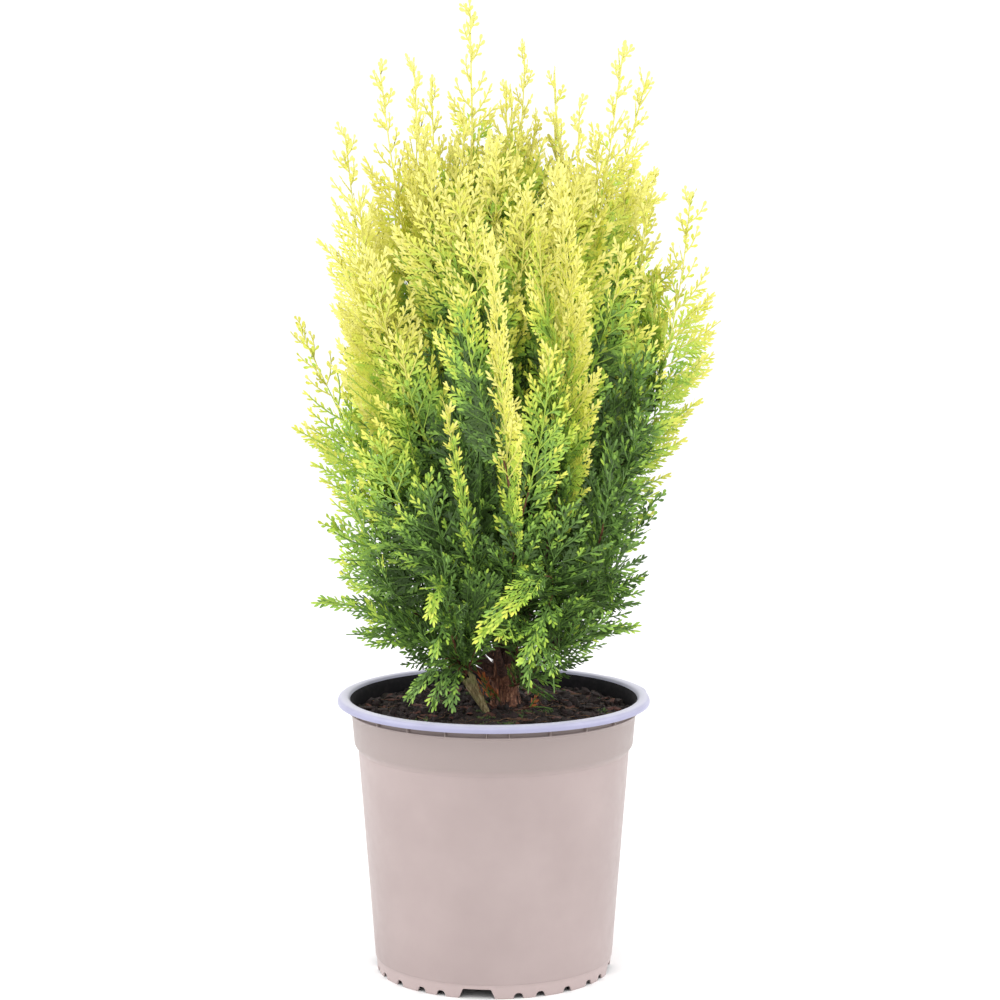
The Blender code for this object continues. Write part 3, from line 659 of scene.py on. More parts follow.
def makeSoil():
    dice = np.random.default_rng(soilSizes["seed"])
    edge = float(innerRadius(soilSizes["edgeHeight"])) - soilSizes["gap"]
    peat = earthMaterial("pottingMix", soilColours["wet"], soilColours["dry"], 420, 0.92, 0.0007)
    ball = ballShape()
    makeMound(peat, edge)
    makeCrumbs(peat, edge, ball, dice)
    makeBarkChips(edge, dice)
    makeMoss(edge, ball, dice)
    makeFibres(edge, dice)


# trunk, boughs and the paths that the foliage follows

trunkSizes = {
    "foot": (0.006, 0.008, 0.1445),
    "leaderTip": (-0.0125, 0.0, 0.5237),
    "endHeight": 0.452,
    "radius": 0.0064,
    "tipRadius": 0.0010,
    "taper": 1.5,
    "sway": 0.0025,
    "flareRadius": 0.0026,
    "flareHeight": 0.006,
    "sides": 56,
    "rings": 320,
    "relief": 0.15,  # depth of the bark's ridges, as a share of the radius
}
barkStrips = {
    "seed": 8,
    "count": 300,
    "upTo": 0.12,  # over the trunk's foot
    "lengths": (0.004, 0.015),
    "halfWidths": (0.0004, 0.0016),
    "lift": (0.0003, 0.0018),
    "wellLifted": 0.3,  # this share of them lifts twice as far
    "upward": 0.7,  # this share hangs on by its lower end
    "stations": 6,
}
basalSizes = {
    "foot": (-0.003, -0.018, 0.1445),
    "tip": (-0.0145, -0.0185, 0.166),
    "radius": 0.0019,
    "tipRadius": 0.0030,
    "swell": 1.5,  # of its breadth over the solid's
    "azimuth": 326,
    "twist": 60,
    "clumpTip": (-0.0255, -0.052, 0.234),
    "sides": 40,
    "rings": 70,
}
boughSizes = {"share": 0.24, "radius": 0.0023, "tipRadius": 0.0014, "sides": 18, "rings": 44, "relief": 0.1}
barkColours = {  # in the grooves, between and on the ridges
    "red": ((36, 24, 22), (74, 49, 42), (128, 92, 76)),
    "peeling": ((56, 35, 29), (116, 73, 54), (184, 138, 108)),
    "olive": ((70, 58, 40), (150, 134, 94), (210, 194, 152)),
    "algae": (116, 122, 70),
    "young": (186, 178, 92),
}
trunkFoot = np.array(trunkSizes["foot"])
leaderTip = np.array(trunkSizes["leaderTip"])
touch = 0.0003

# azimuth, root height, belly radius, tip radius, tip height, swing, twist, breadth
boughFans = {
    "left_outer": (267, 0.172, 0.073, 0.105, 0.352, 0, 10, 0.039),
    "left_shoulder": (252, 0.192, 0.075, 0.083, 0.456, 3, -8, 0.04),
    "left_front": (302, 0.183, 0.076, 0.08, 0.424, -3, 12, 0.04),
    "centre_green": (333, 0.176, 0.056, 0.052, 0.365, 10, 70, 0.036),
    "front_gold": (10, 0.17, 0.084, 0.079, 0.402, -11, 20, 0.032),
    "front_lime": (350, 0.163, 0.064, 0.077, 0.316, -8, 0, 0.018),
    "right_front_gold": (42, 0.181, 0.08, 0.06, 0.437, -10, 8, 0.034),
    "right_front_lime": (58, 0.171, 0.078, 0.093, 0.308, -3, 10, 0.023),
    "right_outer": (88, 0.178, 0.1, 0.105, 0.422, 4, -6, 0.04),
    "right_shoulder": (113, 0.19, 0.084, 0.092, 0.432, 0, 14, 0.042),
    "back_right": (140, 0.174, 0.086, 0.094, 0.398, 4, -10, 0.044),
    "back": (169, 0.186, 0.086, 0.092, 0.416, 4, 8, 0.044),
    "back_left": (198, 0.172, 0.086, 0.096, 0.388, 0, 12, 0.044),
    "left_back": (225, 0.182, 0.088, 0.094, 0.408, 4, -12, 0.042),
    "left_low": (281, 0.164, 0.062, 0.09, 0.252, 0, 20, 0.032),
    "right_low": (77, 0.163, 0.066, 0.088, 0.262, 6, -16, 0.032),
    "back_right_low": (127, 0.16, 0.056, 0.082, 0.224, 0, 14, 0.032),
    "back_left_low": (212, 0.16, 0.056, 0.084, 0.222, 0, -14, 0.032),
    "left_low_back": (246, 0.158, 0.054, 0.088, 0.214, 6, 18, 0.03),
}
trunkFans = {
    "left_crest": (270, 0.232, 0.05, 0.06, 0.488, 5, 14, 0.04),
    "left_front_crest": (312, 0.214, 0.046, 0.047, 0.493, -14, 28, 0.036),
    "front_crest": (14, 0.246, 0.042, 0.03, 0.452, -20, 40, 0.034),
    "right_front_crest": (62, 0.254, 0.048, 0.048, 0.47, 8, 18, 0.038),
    "right_crest": (96, 0.226, 0.056, 0.069, 0.502, -6, 8, 0.04),
    "right_back_crest": (124, 0.24, 0.064, 0.086, 0.486, -18, 6, 0.04),
    "back_crest": (162, 0.252, 0.046, 0.045, 0.48, 6, 20, 0.04),
    "back_left_crest": (216, 0.244, 0.046, 0.044, 0.481, 14, -16, 0.04),
    "centre_crest": (146, 0.33, 0.022, 0.0205, 0.499, -20, 82, 0.03),
    "right_inner": (56, 0.214, 0.056, 0.091, 0.343, 10, 56, 0.032),
    "low_lime": (25, 0.201, 0.056, 0.075, 0.198, -24, 66, 0.024),
    "right_low_front": (43, 0.158, 0.044, 0.072, 0.2, 12, 24, 0.028),
    "left_low_front": (306, 0.159, 0.044, 0.074, 0.202, -8, 24, 0.028),
    "front_right_low": (20, 0.156, 0.032, 0.056, 0.172, 12, 30, 0.022),
    "right_low_back": (104, 0.158, 0.048, 0.078, 0.206, 0, -20, 0.028),
}


def trunkAt(height):
    share = (np.asarray(height, float) - trunkFoot[2]) / (leaderTip[2] - trunkFoot[2])
    middle = blend(trunkFoot, leaderTip, share[..., None])
    middle[..., 0] += trunkSizes["sway"] * np.sin(share * math.tau)
    return middle


def trunkRadius(height):
    share = (height - trunkFoot[2]) / (trunkSizes["endHeight"] - trunkFoot[2])
    taper = np.clip(1 - share, 0, 1) ** trunkSizes["taper"]
    flare = trunkSizes["flareRadius"] * np.exp(-(height - trunkFoot[2]) / trunkSizes["flareHeight"])
    return blend(trunkSizes["tipRadius"], trunkSizes["radius"], taper) + flare


def runOf(points):  # how far along its length each point of a line lies
    return np.concatenate(([0], np.cumsum(np.linalg.norm(np.diff(points, axis=0), axis=1))))


# a curve that is read by its share of length, with the plane of the fan that stands along it
def pathThrough(controls, azimuth, swing=0.0, twist=0.0):
    t = np.linspace(0, 1, 161)[:, None]
    a, b, c, d = (np.asarray(point, float) for point in controls)
    points = a * (1 - t) ** 3 + 3 * b * t * (1 - t) ** 2 + 3 * c * t * t * (1 - t) + d * t**3
    reach = runOf(points)
    share = reach / reach[-1]
    along = unit(np.gradient(points, share, axis=0))
    around = outward(azimuth + swing * share + 90)
    normal = rolled(along, squareTo(along, around), math.radians(twist))
    return {"share": share, "length": reach[-1], "points": points, "along": along,
            "outer": np.cross(normal, along), "normal": normal}


def readPath(path, share):
    share = np.clip(share, 0, 1)
    return [np.stack([np.interp(share, path["share"], path[key][:, i]) for i in range(3)], -1)
            for key in ("points", "along", "outer", "normal")]


def fanPath(azimuth, rootHeight, belly, tipRadius, tipHeight, swing, twist):
    start = trunkAt(rootHeight) + outward(azimuth) * (trunkRadius(rootHeight) + touch)
    rise = tipHeight - rootHeight
    low = start + outward(azimuth) * belly * 0.55 + (0, 0, rise * 0.22)
    high = outward(azimuth + swing * 0.6) * belly + (0, 0, rootHeight + rise * 0.62)
    tip = outward(azimuth + swing) * tipRadius + (0, 0, tipHeight)
    return pathThrough((start, low, high, tip), azimuth, swing, twist)


def barkRelief(turn, reach, seed):  # stringy ridges that run with the limb and wander round it a little
    dice = np.random.default_rng(seed)
    total = np.zeros(np.broadcast(turn, reach).shape)
    for strings in (4, 6, 9, 13, 17, 23):
        wander = 1.2 * np.sin(reach * dice.uniform(60, 150) + dice.uniform(0, 6))
        fade = 0.6 + 0.4 * np.sin(reach * dice.uniform(120, 420) + dice.uniform(0, 6))
        total += np.sin(strings * turn + wander + dice.uniform(0, 6)) * fade / strings**0.35
    return total / 2.4


def limbPoints(middles, across, other, radii, sides, relief, seed):
    turn = np.arange(sides) * math.tau / sides
    rough = 1 + relief * barkRelief(turn[None], runOf(middles)[:, None], seed)
    return middles[:, None] + ringsAround(across, other, sides) * (radii[:, None] * rough)[..., None]


def limbFaces(sides, rings):  # its bark and both its ends
    end = np.arange(sides)[None]
    return [gridFaces(rings, sides)[:, ::-1], end, end[:, ::-1] + (rings - 1) * sides]


def makeBarkMaterial(name, dark, middle, light, greenish=None, youngFrom=None):
    material, shader = newMaterial(name, middle, 0.88)
    tree = material.node_tree
    grain = addNoise(tree, 260, 5, 0.6, stretch=(5.0, 5.0, 0.9))
    colour = addRamp(tree, grain, (0.3, dark), (0.5, middle), (0.72, light))
    if greenish:
        patch = addRange(tree, addNoise(tree, 120, 3), 0.5, 0.62, 0, 0.55)
        colour = addMix(tree, patch, colour, greenish)
    if youngFrom:
        young = heightRange(tree, youngFrom, youngFrom + 0.08, 0, 1)
        colour = addMix(tree, young, colour, barkColours["young"])
    tree.links.new(colour, shader.inputs["Base Color"])
    addBump(tree, shader, grain, 0.0006, 0.8)
    return material


def makeTrunk(bark):
    sides, rings = trunkSizes["sides"], trunkSizes["rings"]
    heights = trunkFoot[2] + np.linspace(0, 1, rings) ** 1.3 * (trunkSizes["endHeight"] - trunkFoot[2])
    middles = trunkAt(heights)
    across = np.broadcast_to(np.array([1.0, 0, 0]), middles.shape)
    other = np.broadcast_to(np.array([0, 1.0, 0]), middles.shape)
    points = limbPoints(middles, across, other, trunkRadius(heights), sides, trunkSizes["relief"], 5)
    addPiece("trunkBark", points.reshape(-1, 3), limbFaces(sides, rings), [bark], "bark", ["trunk"])


def makeBoughs(bark):  # they swell where they leave the trunk, and run in under its bark
    allPoints, allFaces = [], []
    sides, rings = boughSizes["sides"], boughSizes["rings"]
    grid = gridFaces(rings, sides)
    for index, (azimuth, *rest) in enumerate(boughFans.values()):
        path = fanPath(azimuth, *rest[:-1])
        share = np.linspace(0, boughSizes["share"] + 0.012, rings)
        middles, along, outer, normal = readPath(path, share)
        taper = (boughSizes["tipRadius"] - boughSizes["radius"]) * share / boughSizes["share"]
        radii = (boughSizes["radius"] + taper) * (1 + 0.5 * np.exp(-share * path["length"] / 0.003))
        inward = np.exp(-share * path["length"] / 0.0012)[:, None] * outward(azimuth) * 0.0026
        points = limbPoints(middles - inward, outer, normal, radii, sides, boughSizes["relief"], 40 + index)
        allFaces.append(grid[:, ::-1] + index * rings * sides)
        allPoints.append(points.reshape(-1, 3))
    addPiece("boughBark", np.concatenate(allPoints), [np.concatenate(allFaces)],
             [bark], "bark", ["bough_" + name for name in boughFans])


def makeBarkStrips():  # loose ones on the lower trunk, lifted at one end
    dice = np.random.default_rng(barkStrips["seed"])
    count, stations = barkStrips["count"], barkStrips["stations"]
    height = trunkFoot[2] + 0.001 + dice.beta(1.1, 3.2, count) * barkStrips["upTo"]
    turn = dice.uniform(0, math.tau, count)
    length = dice.uniform(*barkStrips["lengths"], count)
    lift = dice.uniform(*barkStrips["lift"], count)
    lift *= np.where(dice.uniform(size=count) < barkStrips["wellLifted"], 2.0, 1.0)
    t = np.linspace(0, 1, stations)
    way = np.where(dice.uniform(size=count) < barkStrips["upward"], 1, -1)
    z = height[:, None] + t * length[:, None] * way[:, None]
    z = np.maximum(z, trunkFoot[2] + 0.0003)
    reach = trunkRadius(z) * 1.04 + lift[:, None] * t**2
    slant = turn[:, None] + t * dice.uniform(-0.35, 0.35, (count, 1))
    radial = np.stack([np.cos(slant), np.sin(slant), np.zeros_like(slant)], -1)
    side = np.stack([-np.sin(slant), np.cos(slant), np.zeros_like(slant)], -1)
    half = dice.uniform(*barkStrips["halfWidths"], count)[:, None] * (1 - 0.7 * t**2)
    spine = trunkAt(z) + radial * reach[..., None]
    strips = np.stack([spine - side * half[..., None], spine + side * half[..., None]], axis=2)
    faces = repeatFaces(gridFaces(stations, 2, closed=False), count, 2 * stations)
    shaggy = makeBarkMaterial("peelingBark", *barkColours["peeling"])
    addPiece("barkFlakes", strips.reshape(-1, 3), [faces], [shaggy], "bark", ["trunk"])


def basalPaths():
    foot, tip = np.array(basalSizes["foot"]), np.array(basalSizes["tip"])
    shoot = pathThrough([blend(foot, tip, share) for share in (0, 0.35, 0.7, 1)],
                        basalSizes["azimuth"], 0, basalSizes["twist"])
    heading = unit(tip - foot)
    start = tip + heading * touch
    clumpTip = np.array(basalSizes["clumpTip"])
    clump = pathThrough((start, start + heading * 0.014, clumpTip - (0, -0.004, 0.03), clumpTip),
                        basalSizes["azimuth"], 0, basalSizes["twist"])
    return shoot, clump


def makeBasalShoot():  # a flat, grooved old shoot that widens upward and carries the front clump
    shoot, _ = basalPaths()
    sides, rings = basalSizes["sides"], basalSizes["rings"]
    share = np.linspace(0, 1, rings)
    middles, along, outer, normal = readPath(shoot, share)
    radii = blend(basalSizes["radius"], basalSizes["tipRadius"], share)
    radii[-4:] *= np.linspace(0.97, 0.75, 4)
    turn = np.arange(sides) * math.tau / sides
    groove = 0.15 * np.cos(7 * turn + 2 * share[:, None]) + 0.09 * np.cos(16 * turn - 3 * share[:, None])
    wide = blend(0.9, basalSizes["swell"], share[:, None]) * radii[:, None] * (1 + groove)
    thin = wide * 0.8
    points = (middles[:, None] + outer[:, None] * (np.cos(turn) * wide)[..., None]
              + normal[:, None] * (np.sin(turn) * thin)[..., None])
    points[0, :, 2] = np.minimum(points[0, :, 2], basalSizes["foot"][2])
    torn = np.sin(3 * turn + 0.6) + 0.6 * np.sin(7 * turn) + 0.4 * np.sin(12 * turn + 1)
    torn = 0.0018 * np.maximum(torn, -0.6)  # its broken end
    points += (ease(0.72, 1, share)[:, None] * torn)[..., None] * along[:, None]
    olive = makeBarkMaterial("greyOliveBark", *barkColours["olive"], barkColours["algae"])
    addPiece("basalShoot", points.reshape(-1, 3), limbFaces(sides, rings), [olive], "bark", ["basal_shoot"])


makeSoil()
print("soil made")
redBark = makeBarkMaterial("stringyRedBark", *barkColours["red"], youngFrom=0.33)
makeTrunk(redBark)
makeBoughs(redBark)
makeBarkStrips()
makeBasalShoot()
print("trunk and boughs made")


# foliage: fans of side sprays, each with small lobed blades to both sides

massNodes = sorted(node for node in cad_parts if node.startswith("foliage_"))
foliage = {
    "seed": 47,
    "sprayStep": 0.0074,  # between side sprays on one side of a fan's stem
    "sprayAngles": (47, 34),  # off the stem, at its foot and its tip
    "angleSpread": 6,
    "roll": 15,  # most degrees that a spray leaves its fan's plane
    "sprayLengths": (0.72, 1.08),  # of the fan's breadth there
    "sprayCurves": (6, 22),  # degrees that a spray bends inwards
    "sprayGold": 0.08,  # how unevenly sprays are gold
    "crossStep": 0.009,  # between the short sprays that stand out of a fan's plane
    "denseCross": 0.45,  # of that step, on the dense fans
    "crossAngles": (32, 52),
    "crossLengths": (0.26, 0.5),  # of the fan's breadth
    "bladeStep": 0.0042,
    "bladeAngles": (45, 36),
    "bladeSpread": 5,
    "bladeRoll": 16,
    "bladeShare": 0.40,  # longest blade over its spray's length
    "longestBlade": 0.0125,
    "shortestBlade": 0.0034,
    "openBlades": (0.0034, 0.0048),  # shortest and longest on an open spray
    "endBlades": (0.0038, 0.0065),
    "underside": ((0.058, 0.066, 0.090), (0.1528, 0.178, 0.200)),  # of the crown, by distance out
    "childrenOfBough": 5,
    "childrenOfLowBough": 3,
    "childrenOfCrest": 4,
    "childrenOf": {"front_gold": 3, "front_lime": 1, "low_lime": 1},
    "childTurns": (8, 25),  # degrees to the side of its fan
    "childTops": (0.34, 0.58),  # of the way up from its root to the fan's tip
    "childTwist": 78,
    "childBreadths": (0.78, 0.95),
    "denseFans": ("front_gold", "front_lime", "right_front_gold", "right_front_lime", "centre_green"),
    "clubsFrom": 0.5,  # how open a spray is before its blades are single and blunt
    "topShoots": 14,
    "topShootRoots": (0.33, 0.41),
    "topShootTips": (0.422, 0.462),
    "topShootReach": (0.010, 0.045),
    "innerShoots": 16,
    "innerShootRoots": (0.172, 0.31),
    "innerShootReach": (0.024, 0.044),
    "past": 0.0005,  # how far a blade may reach past the solids' box
    "needleHeights": (0.20, 0.27),  # all needle-like below the first, none above the second
    "shortestNeedle": 0.0045,
    "longNeedle": 0.0078,
    "tipGold": (0.12, 0.38),  # how much a spray turns gold along itself low down, and how much more high up
    "tipGoldHeights": (0.18, 0.34),
    "unevenGold": 0.055,
    "twigLine": ((0.0, 0.00052), (0.33, 0.00048), (0.66, 0.00042), (0.95, 0.0003)),  # share of length, radius
    "twigGold": (0.26, 0.60),  # from here lime, from here gold
    "stemGold": (0.32, 0.64),
    "stemEnd": 0.00032,
    "barkUpTo": 0.45,  # of a stem's length
    "barkBelow": 0.3,
}
goldenTurn = 137.5  # degrees between one shoot and the next
# length of a blade, how many fingers stand off it, their length, their angle at its foot and near its end,
# and half the width of a finger and of the blade's spine
bladeKinds = (
    (0.0036, 0, 0, 0, 0, 0.00062, 0.00052),
    (0.0057, 2, 0.0037, 41, 30, 0.00062, 0.00056),
    (0.0078, 4, 0.0037, 41, 30, 0.00062, 0.00056),
    (0.0099, 6, 0.0037, 41, 30, 0.00062, 0.00056),
    (0.0120, 8, 0.0037, 41, 30, 0.00062, 0.00056),
    (0.0068, 1, 0.0040, 22, 18, 0.00056, 0.00048),  # needle-like ones, low on the plant
    (0.0110, 3, 0.0060, 22, 16, 0.00056, 0.00048),
)
bladeLengths = np.array([kind[0] for kind in bladeKinds])
needleKinds = (5, 6)
club = {"length": 0.0041, "half": 0.00100}  # the single blunt blades of the open tops
goldByHeight = (  # heights, and how gold the leaves are there: 0 is the deepest green, 1 the palest tip
    (0.15, 0.20, 0.25, 0.30, 0.36, 0.42, 0.48, 0.53),
    (0.16, 0.23, 0.33, 0.45, 0.61, 0.77, 0.90, 1.0),
)
# by how much, between which distances from the axis, and between which heights it fades
goldOutside = (0.38, (0.03, 0.08), (0.35, 0.45))
greenInside = (0.28, (0.018, 0.045), (0.42, 0.47))
goldOfFan = {
    "left_front": 0.14, "left_front_crest": 0.24, "left_crest": 0.16, "left_shoulder": 0.08,
    "front_crest": 0.36, "right_front_crest": 0.14, "centre_crest": 0.1, "right_crest": 0.05,
    "front_gold": 0.25, "right_front_gold": 0.26, "centre_green": -0.24, "right_inner": -0.26,
    "low_lime": 0.10, "front_lime": 0.09, "right_front_lime": 0.05, "front_clump": -0.04,
    "left_outer": 0.03, "right_outer": 0.02, "leader": 0.1,
}
paintedShadeGaps = (  # x and height of a gap whose leaves are greener and painted darker as shade, half its width and height, how much greener and darker
    (-0.007, 0.272, 0.018, 0.066, 0.68),
    (0.066, 0.298, 0.023, 0.066, 0.70),
)
# these cross the gaps in front or stand beside them, so the painted shade of the gaps is left off them
fansOutsidePaintedShade = ("front_gold", "front_lime", "right_front_gold", "right_outer", "low_lime", "low")
goldOfChildren = {"front_gold": 0.0, "left_front": 0.08, "right_front_gold": 0.06}
leafShades = (
    ("deepGreenLeaf", (66, 92, 42), "foliage_deep"),
    ("darkGreenLeaf", (98, 134, 58), "foliage_deep"),
    ("midGreenLeaf", (126, 165, 70), "foliage_deep"),
    ("freshGreenLeaf", (150, 189, 74), "foliage_fresh"),
    ("limeLeaf", (178, 208, 78), "foliage_fresh"),
    ("paleLimeLeaf", (200, 218, 86), "foliage_fresh"),
    ("yellowLeaf", (215, 222, 90), "foliage_gold"),
    ("brightGoldLeaf", (225, 225, 96), "foliage_gold"),
    ("paleGoldLeaf", (231, 227, 108), "foliage_gold"),
    ("creamTipLeaf", (234, 229, 130), "foliage_gold"),
    ("deadSprigLeaf", (196, 112, 62), "bark"),
)
goldShades = len(leafShades) - 1  # all but the dead one
greenTwigs = ("deepTwig", "limeTwig", "goldTwig")
twigShades = {
    "redTwig": ((104, 64, 44), "bark"),
    "deepTwig": ((96, 130, 58), "foliage_deep"),
    "limeTwig": ((168, 196, 80), "foliage_fresh"),
    "goldTwig": ((225, 221, 118), "foliage_gold"),
}
# short plumes low in front: where they start, two points that they bend by, their tip, then azimuth and
# twist of their plane, breadth and goldness
lowPlumes = (
    ((-0.0165, -0.02, 0.171), (-0.024, -0.03, 0.184), (-0.03, -0.04, 0.176), (-0.044, -0.033, 0.1585),
     300, 70, 0.013, 0.08),
    ((-0.0165, -0.02, 0.171), (-0.022, -0.032, 0.18), (-0.028, -0.042, 0.17), (-0.0345, -0.044, 0.1505),
     320, 76, 0.012, 0.12),
    ((-0.016, -0.02, 0.17), (-0.018, -0.032, 0.177), (-0.021, -0.043, 0.168), (-0.024, -0.048, 0.152),
     335, 80, 0.011, 0.05),
    ((-0.018, -0.024, 0.18), (-0.022, -0.038, 0.205), (-0.027, -0.05, 0.205), (-0.03, -0.056, 0.186),
     330, 84, 0.016, 0.07),
    ((-0.022, -0.034, 0.2), (-0.026, -0.048, 0.224), (-0.03, -0.06, 0.226), (-0.032, -0.067, 0.208),
     335, 84, 0.016, 0.1),
    ((-0.015, -0.019, 0.167), (-0.018, -0.024, 0.178), (-0.02, -0.03, 0.19), (-0.023, -0.036, 0.204),
     330, 84, 0.016, -0.06),
    ((-0.014, -0.019, 0.166), (-0.014, -0.026, 0.178), (-0.013, -0.032, 0.19), (-0.013, -0.036, 0.2),
     345, 84, 0.014, -0.1),
    ((-0.015, -0.02, 0.166), (-0.01, -0.03, 0.182), (-0.004, -0.038, 0.198), (-0.001, -0.042, 0.212),
     5, 84, 0.02, -0.12),
    ((-0.015, -0.02, 0.166), (-0.015, -0.03, 0.186), (-0.013, -0.04, 0.206), (-0.012, -0.045, 0.224),
     350, 84, 0.022, -0.08),
    ((-0.015, -0.019, 0.166), (-0.022, -0.024, 0.174), (-0.03, -0.03, 0.182), (-0.036, -0.034, 0.188),
     315, 84, 0.015, 0.02),
    ((-0.018, -0.024, 0.18), (-0.014, -0.036, 0.2), (-0.007, -0.046, 0.214), (-0.003, -0.05, 0.224),
     20, 80, 0.03, -0.08),
    ((-0.0165, -0.02, 0.172), (-0.012, -0.03, 0.184), (-0.004, -0.038, 0.19), (0.003, -0.042, 0.186),
     60, 75, 0.024, -0.08),
    ((0.03, -0.02, 0.209), (0.037, -0.042, 0.234), (0.018, -0.064, 0.228), (-0.008, -0.077, 0.196),
     270, 40, 0.021, 0.07),
    ((0.03, -0.02, 0.209), (0.034, -0.04, 0.218), (0.026, -0.058, 0.204), (0.014, -0.066, 0.178),
     290, 50, 0.015, 0.06),
    ((0.022, -0.028, 0.196), (0.023, -0.042, 0.2), (0.021, -0.056, 0.188), (0.018, -0.062, 0.164),
     0, 84, 0.013, 0.04),
    ((0.022, -0.024, 0.188), (0.028, -0.038, 0.193), (0.031, -0.05, 0.184), (0.032, -0.056, 0.163),
     20, 82, 0.012, 0.05),
    ((0.012, -0.006, 0.168), (0.014, -0.026, 0.19), (0.012, -0.042, 0.2), (0.011, -0.05, 0.194),
     0, 82, 0.024, -0.1),
    ((0.014, -0.006, 0.172), (0.028, -0.02, 0.19), (0.04, -0.034, 0.204), (0.046, -0.042, 0.21),
     40, 76, 0.028, -0.08),
    # long thin ones out over the rim
    ((-0.008, 0, 0.17), (-0.034, -0.014, 0.19), (-0.066, -0.022, 0.204), (-0.09, -0.028, 0.208),
     285, 24, 0.018, -0.06),
    ((-0.008, 0, 0.166), (-0.032, -0.016, 0.182), (-0.058, -0.024, 0.19), (-0.08, -0.028, 0.19),
     290, 30, 0.016, -0.06),
    ((0.016, 0, 0.166), (0.038, -0.01, 0.184), (0.058, -0.018, 0.192), (0.074, -0.022, 0.193),
     70, 26, 0.018, -0.08),
    # and low at the back
    ((0.006, 0.014, 0.17), (0.004, 0.034, 0.19), (0, 0.052, 0.206), (-0.004, 0.062, 0.218),
     180, 70, 0.034, -0.02),
    ((0.006, 0.014, 0.19), (0.01, 0.036, 0.214), (0.016, 0.054, 0.232), (0.02, 0.066, 0.248),
     160, 66, 0.034, 0),
    ((0.006, 0.014, 0.196), (-0.002, 0.038, 0.222), (-0.012, 0.056, 0.246), (-0.02, 0.07, 0.266),
     200, 66, 0.036, 0.02),
    ((0.006, 0.014, 0.216), (0.006, 0.04, 0.246), (0.004, 0.06, 0.272), (0.004, 0.074, 0.296),
     178, 70, 0.036, 0.05),
)


# dead sprigs caught beside the trunk's foot
deadSprigs = (
    ((0.001, -0.003, 0.146), (-0.002, -0.006, 0.152), (-0.004, -0.01, 0.157), (-0.005, -0.013, 0.164)),
    ((0, -0.006, 0.146), (-0.003, -0.01, 0.149), (-0.006, -0.014, 0.151), (-0.008, -0.017, 0.157)),
    ((0.004, -0.004, 0.146), (0.004, -0.009, 0.15), (0.002, -0.013, 0.153), (-0.001, -0.016, 0.158)),
    ((0.016, -0.012, 0.146), (0.02, -0.016, 0.149), (0.026, -0.019, 0.149), (0.032, -0.021, 0.148)),
)


# shoots with their flat side to the front, between the crests and below them: azimuth, root height, reach,
# tip height and twist
frontShoots = (
    (338, 0.3, 0.048, 0.432, -60),
    (350, 0.29, 0.054, 0.408, 80),
    (18, 0.296, 0.056, 0.43, 64),
    (2, 0.31, 0.042, 0.45, 80),
    (28, 0.3, 0.05, 0.416, 50),
    (324, 0.296, 0.056, 0.44, -46),
    (306, 0.25, 0.078, 0.394, -34),
    (318, 0.236, 0.072, 0.35, -36),
    (46, 0.29, 0.06, 0.432, 34),
    (60, 0.262, 0.078, 0.396, 26),
    (38, 0.246, 0.07, 0.356, 40),
    (66, 0.23, 0.088, 0.344, 16),
    (54, 0.206, 0.078, 0.294, 38),
    (310, 0.202, 0.078, 0.3, -40),
    (296, 0.196, 0.086, 0.268, -22),
    (328, 0.196, 0.066, 0.278, -50),
    (344, 0.19, 0.056, 0.256, -66),
    (14, 0.19, 0.058, 0.252, 72),
    (36, 0.192, 0.066, 0.262, 50),
    (60, 0.186, 0.078, 0.25, 26),
)
goldOfFrontShoots = ((0.26, 0.40), (-0.14, 0.16))  # by the height of their tips


def sprayBreadth(share):
    return 0.72 + 0.28 * ease(0, 0.35, share) - 0.48 * ease(0.45, 1, share)


def undersideAt(radius):
    return np.interp(radius, *foliage["underside"])


def newPlume(name, path, begin, breadth, gold, airy, stem, **special):  # a stem that carries sprays
    cross = foliage["crossStep"] * (foliage["denseCross"] if name in foliage["denseFans"] else 1)
    plume = dict(name=name, path=path, begin=begin, breadth=breadth, gold=gold, airy=airy, stem=stem)
    usual = dict(step=foliage["sprayStep"], cross=cross, bare=0.0, acute=1.0, sparse=0.0)
    return {**plume, **usual, **special}


# smaller plumes off a fan's stem, outer and inner in turn
def childPlumes(path, course, count, gold, airy, dice, facing=0):
    azimuth, _, _, _, tipHeight, swing, _, breadth = course
    reachOf = np.hypot(path["points"][:, 0], path["points"][:, 1])
    plumes = []
    for k in range(count):
        side = 1 if k % 2 else -1
        begin = 0.07 + 0.5 * (k + dice.uniform(0.2, 0.8)) / count
        point, along, _, _ = readPath(path, np.array(begin))
        turned = azimuth + swing * begin + side * dice.uniform(*foliage["childTurns"])
        risen = min(dice.uniform(*foliage["childTops"]) + 0.62 * begin, 0.94)
        top = blend(point[2], tipHeight, risen)
        wide = np.interp(top, path["points"][:, 2], reachOf)
        wide *= dice.uniform(0.84, 0.99) if k % 3 else dice.uniform(0.5, 0.78)
        tip = outward(turned) * wide + (0, 0, top)
        high = outward(turned) * wide * 0.96 + (0, 0, blend(point[2], top, 0.5))
        low = point + along * path["length"] * 0.1
        twist = side * dice.uniform(facing, foliage["childTwist"])
        child = pathThrough((point, low, high, tip), turned, 0, twist)
        breadths, golds = dice.uniform(*foliage["childBreadths"]), dice.uniform(-0.08, 0.04)
        plumes.append(newPlume("child", child, 0, breadth * breadths, gold + golds, airy, 0.0007, bare=0.08))
    return plumes


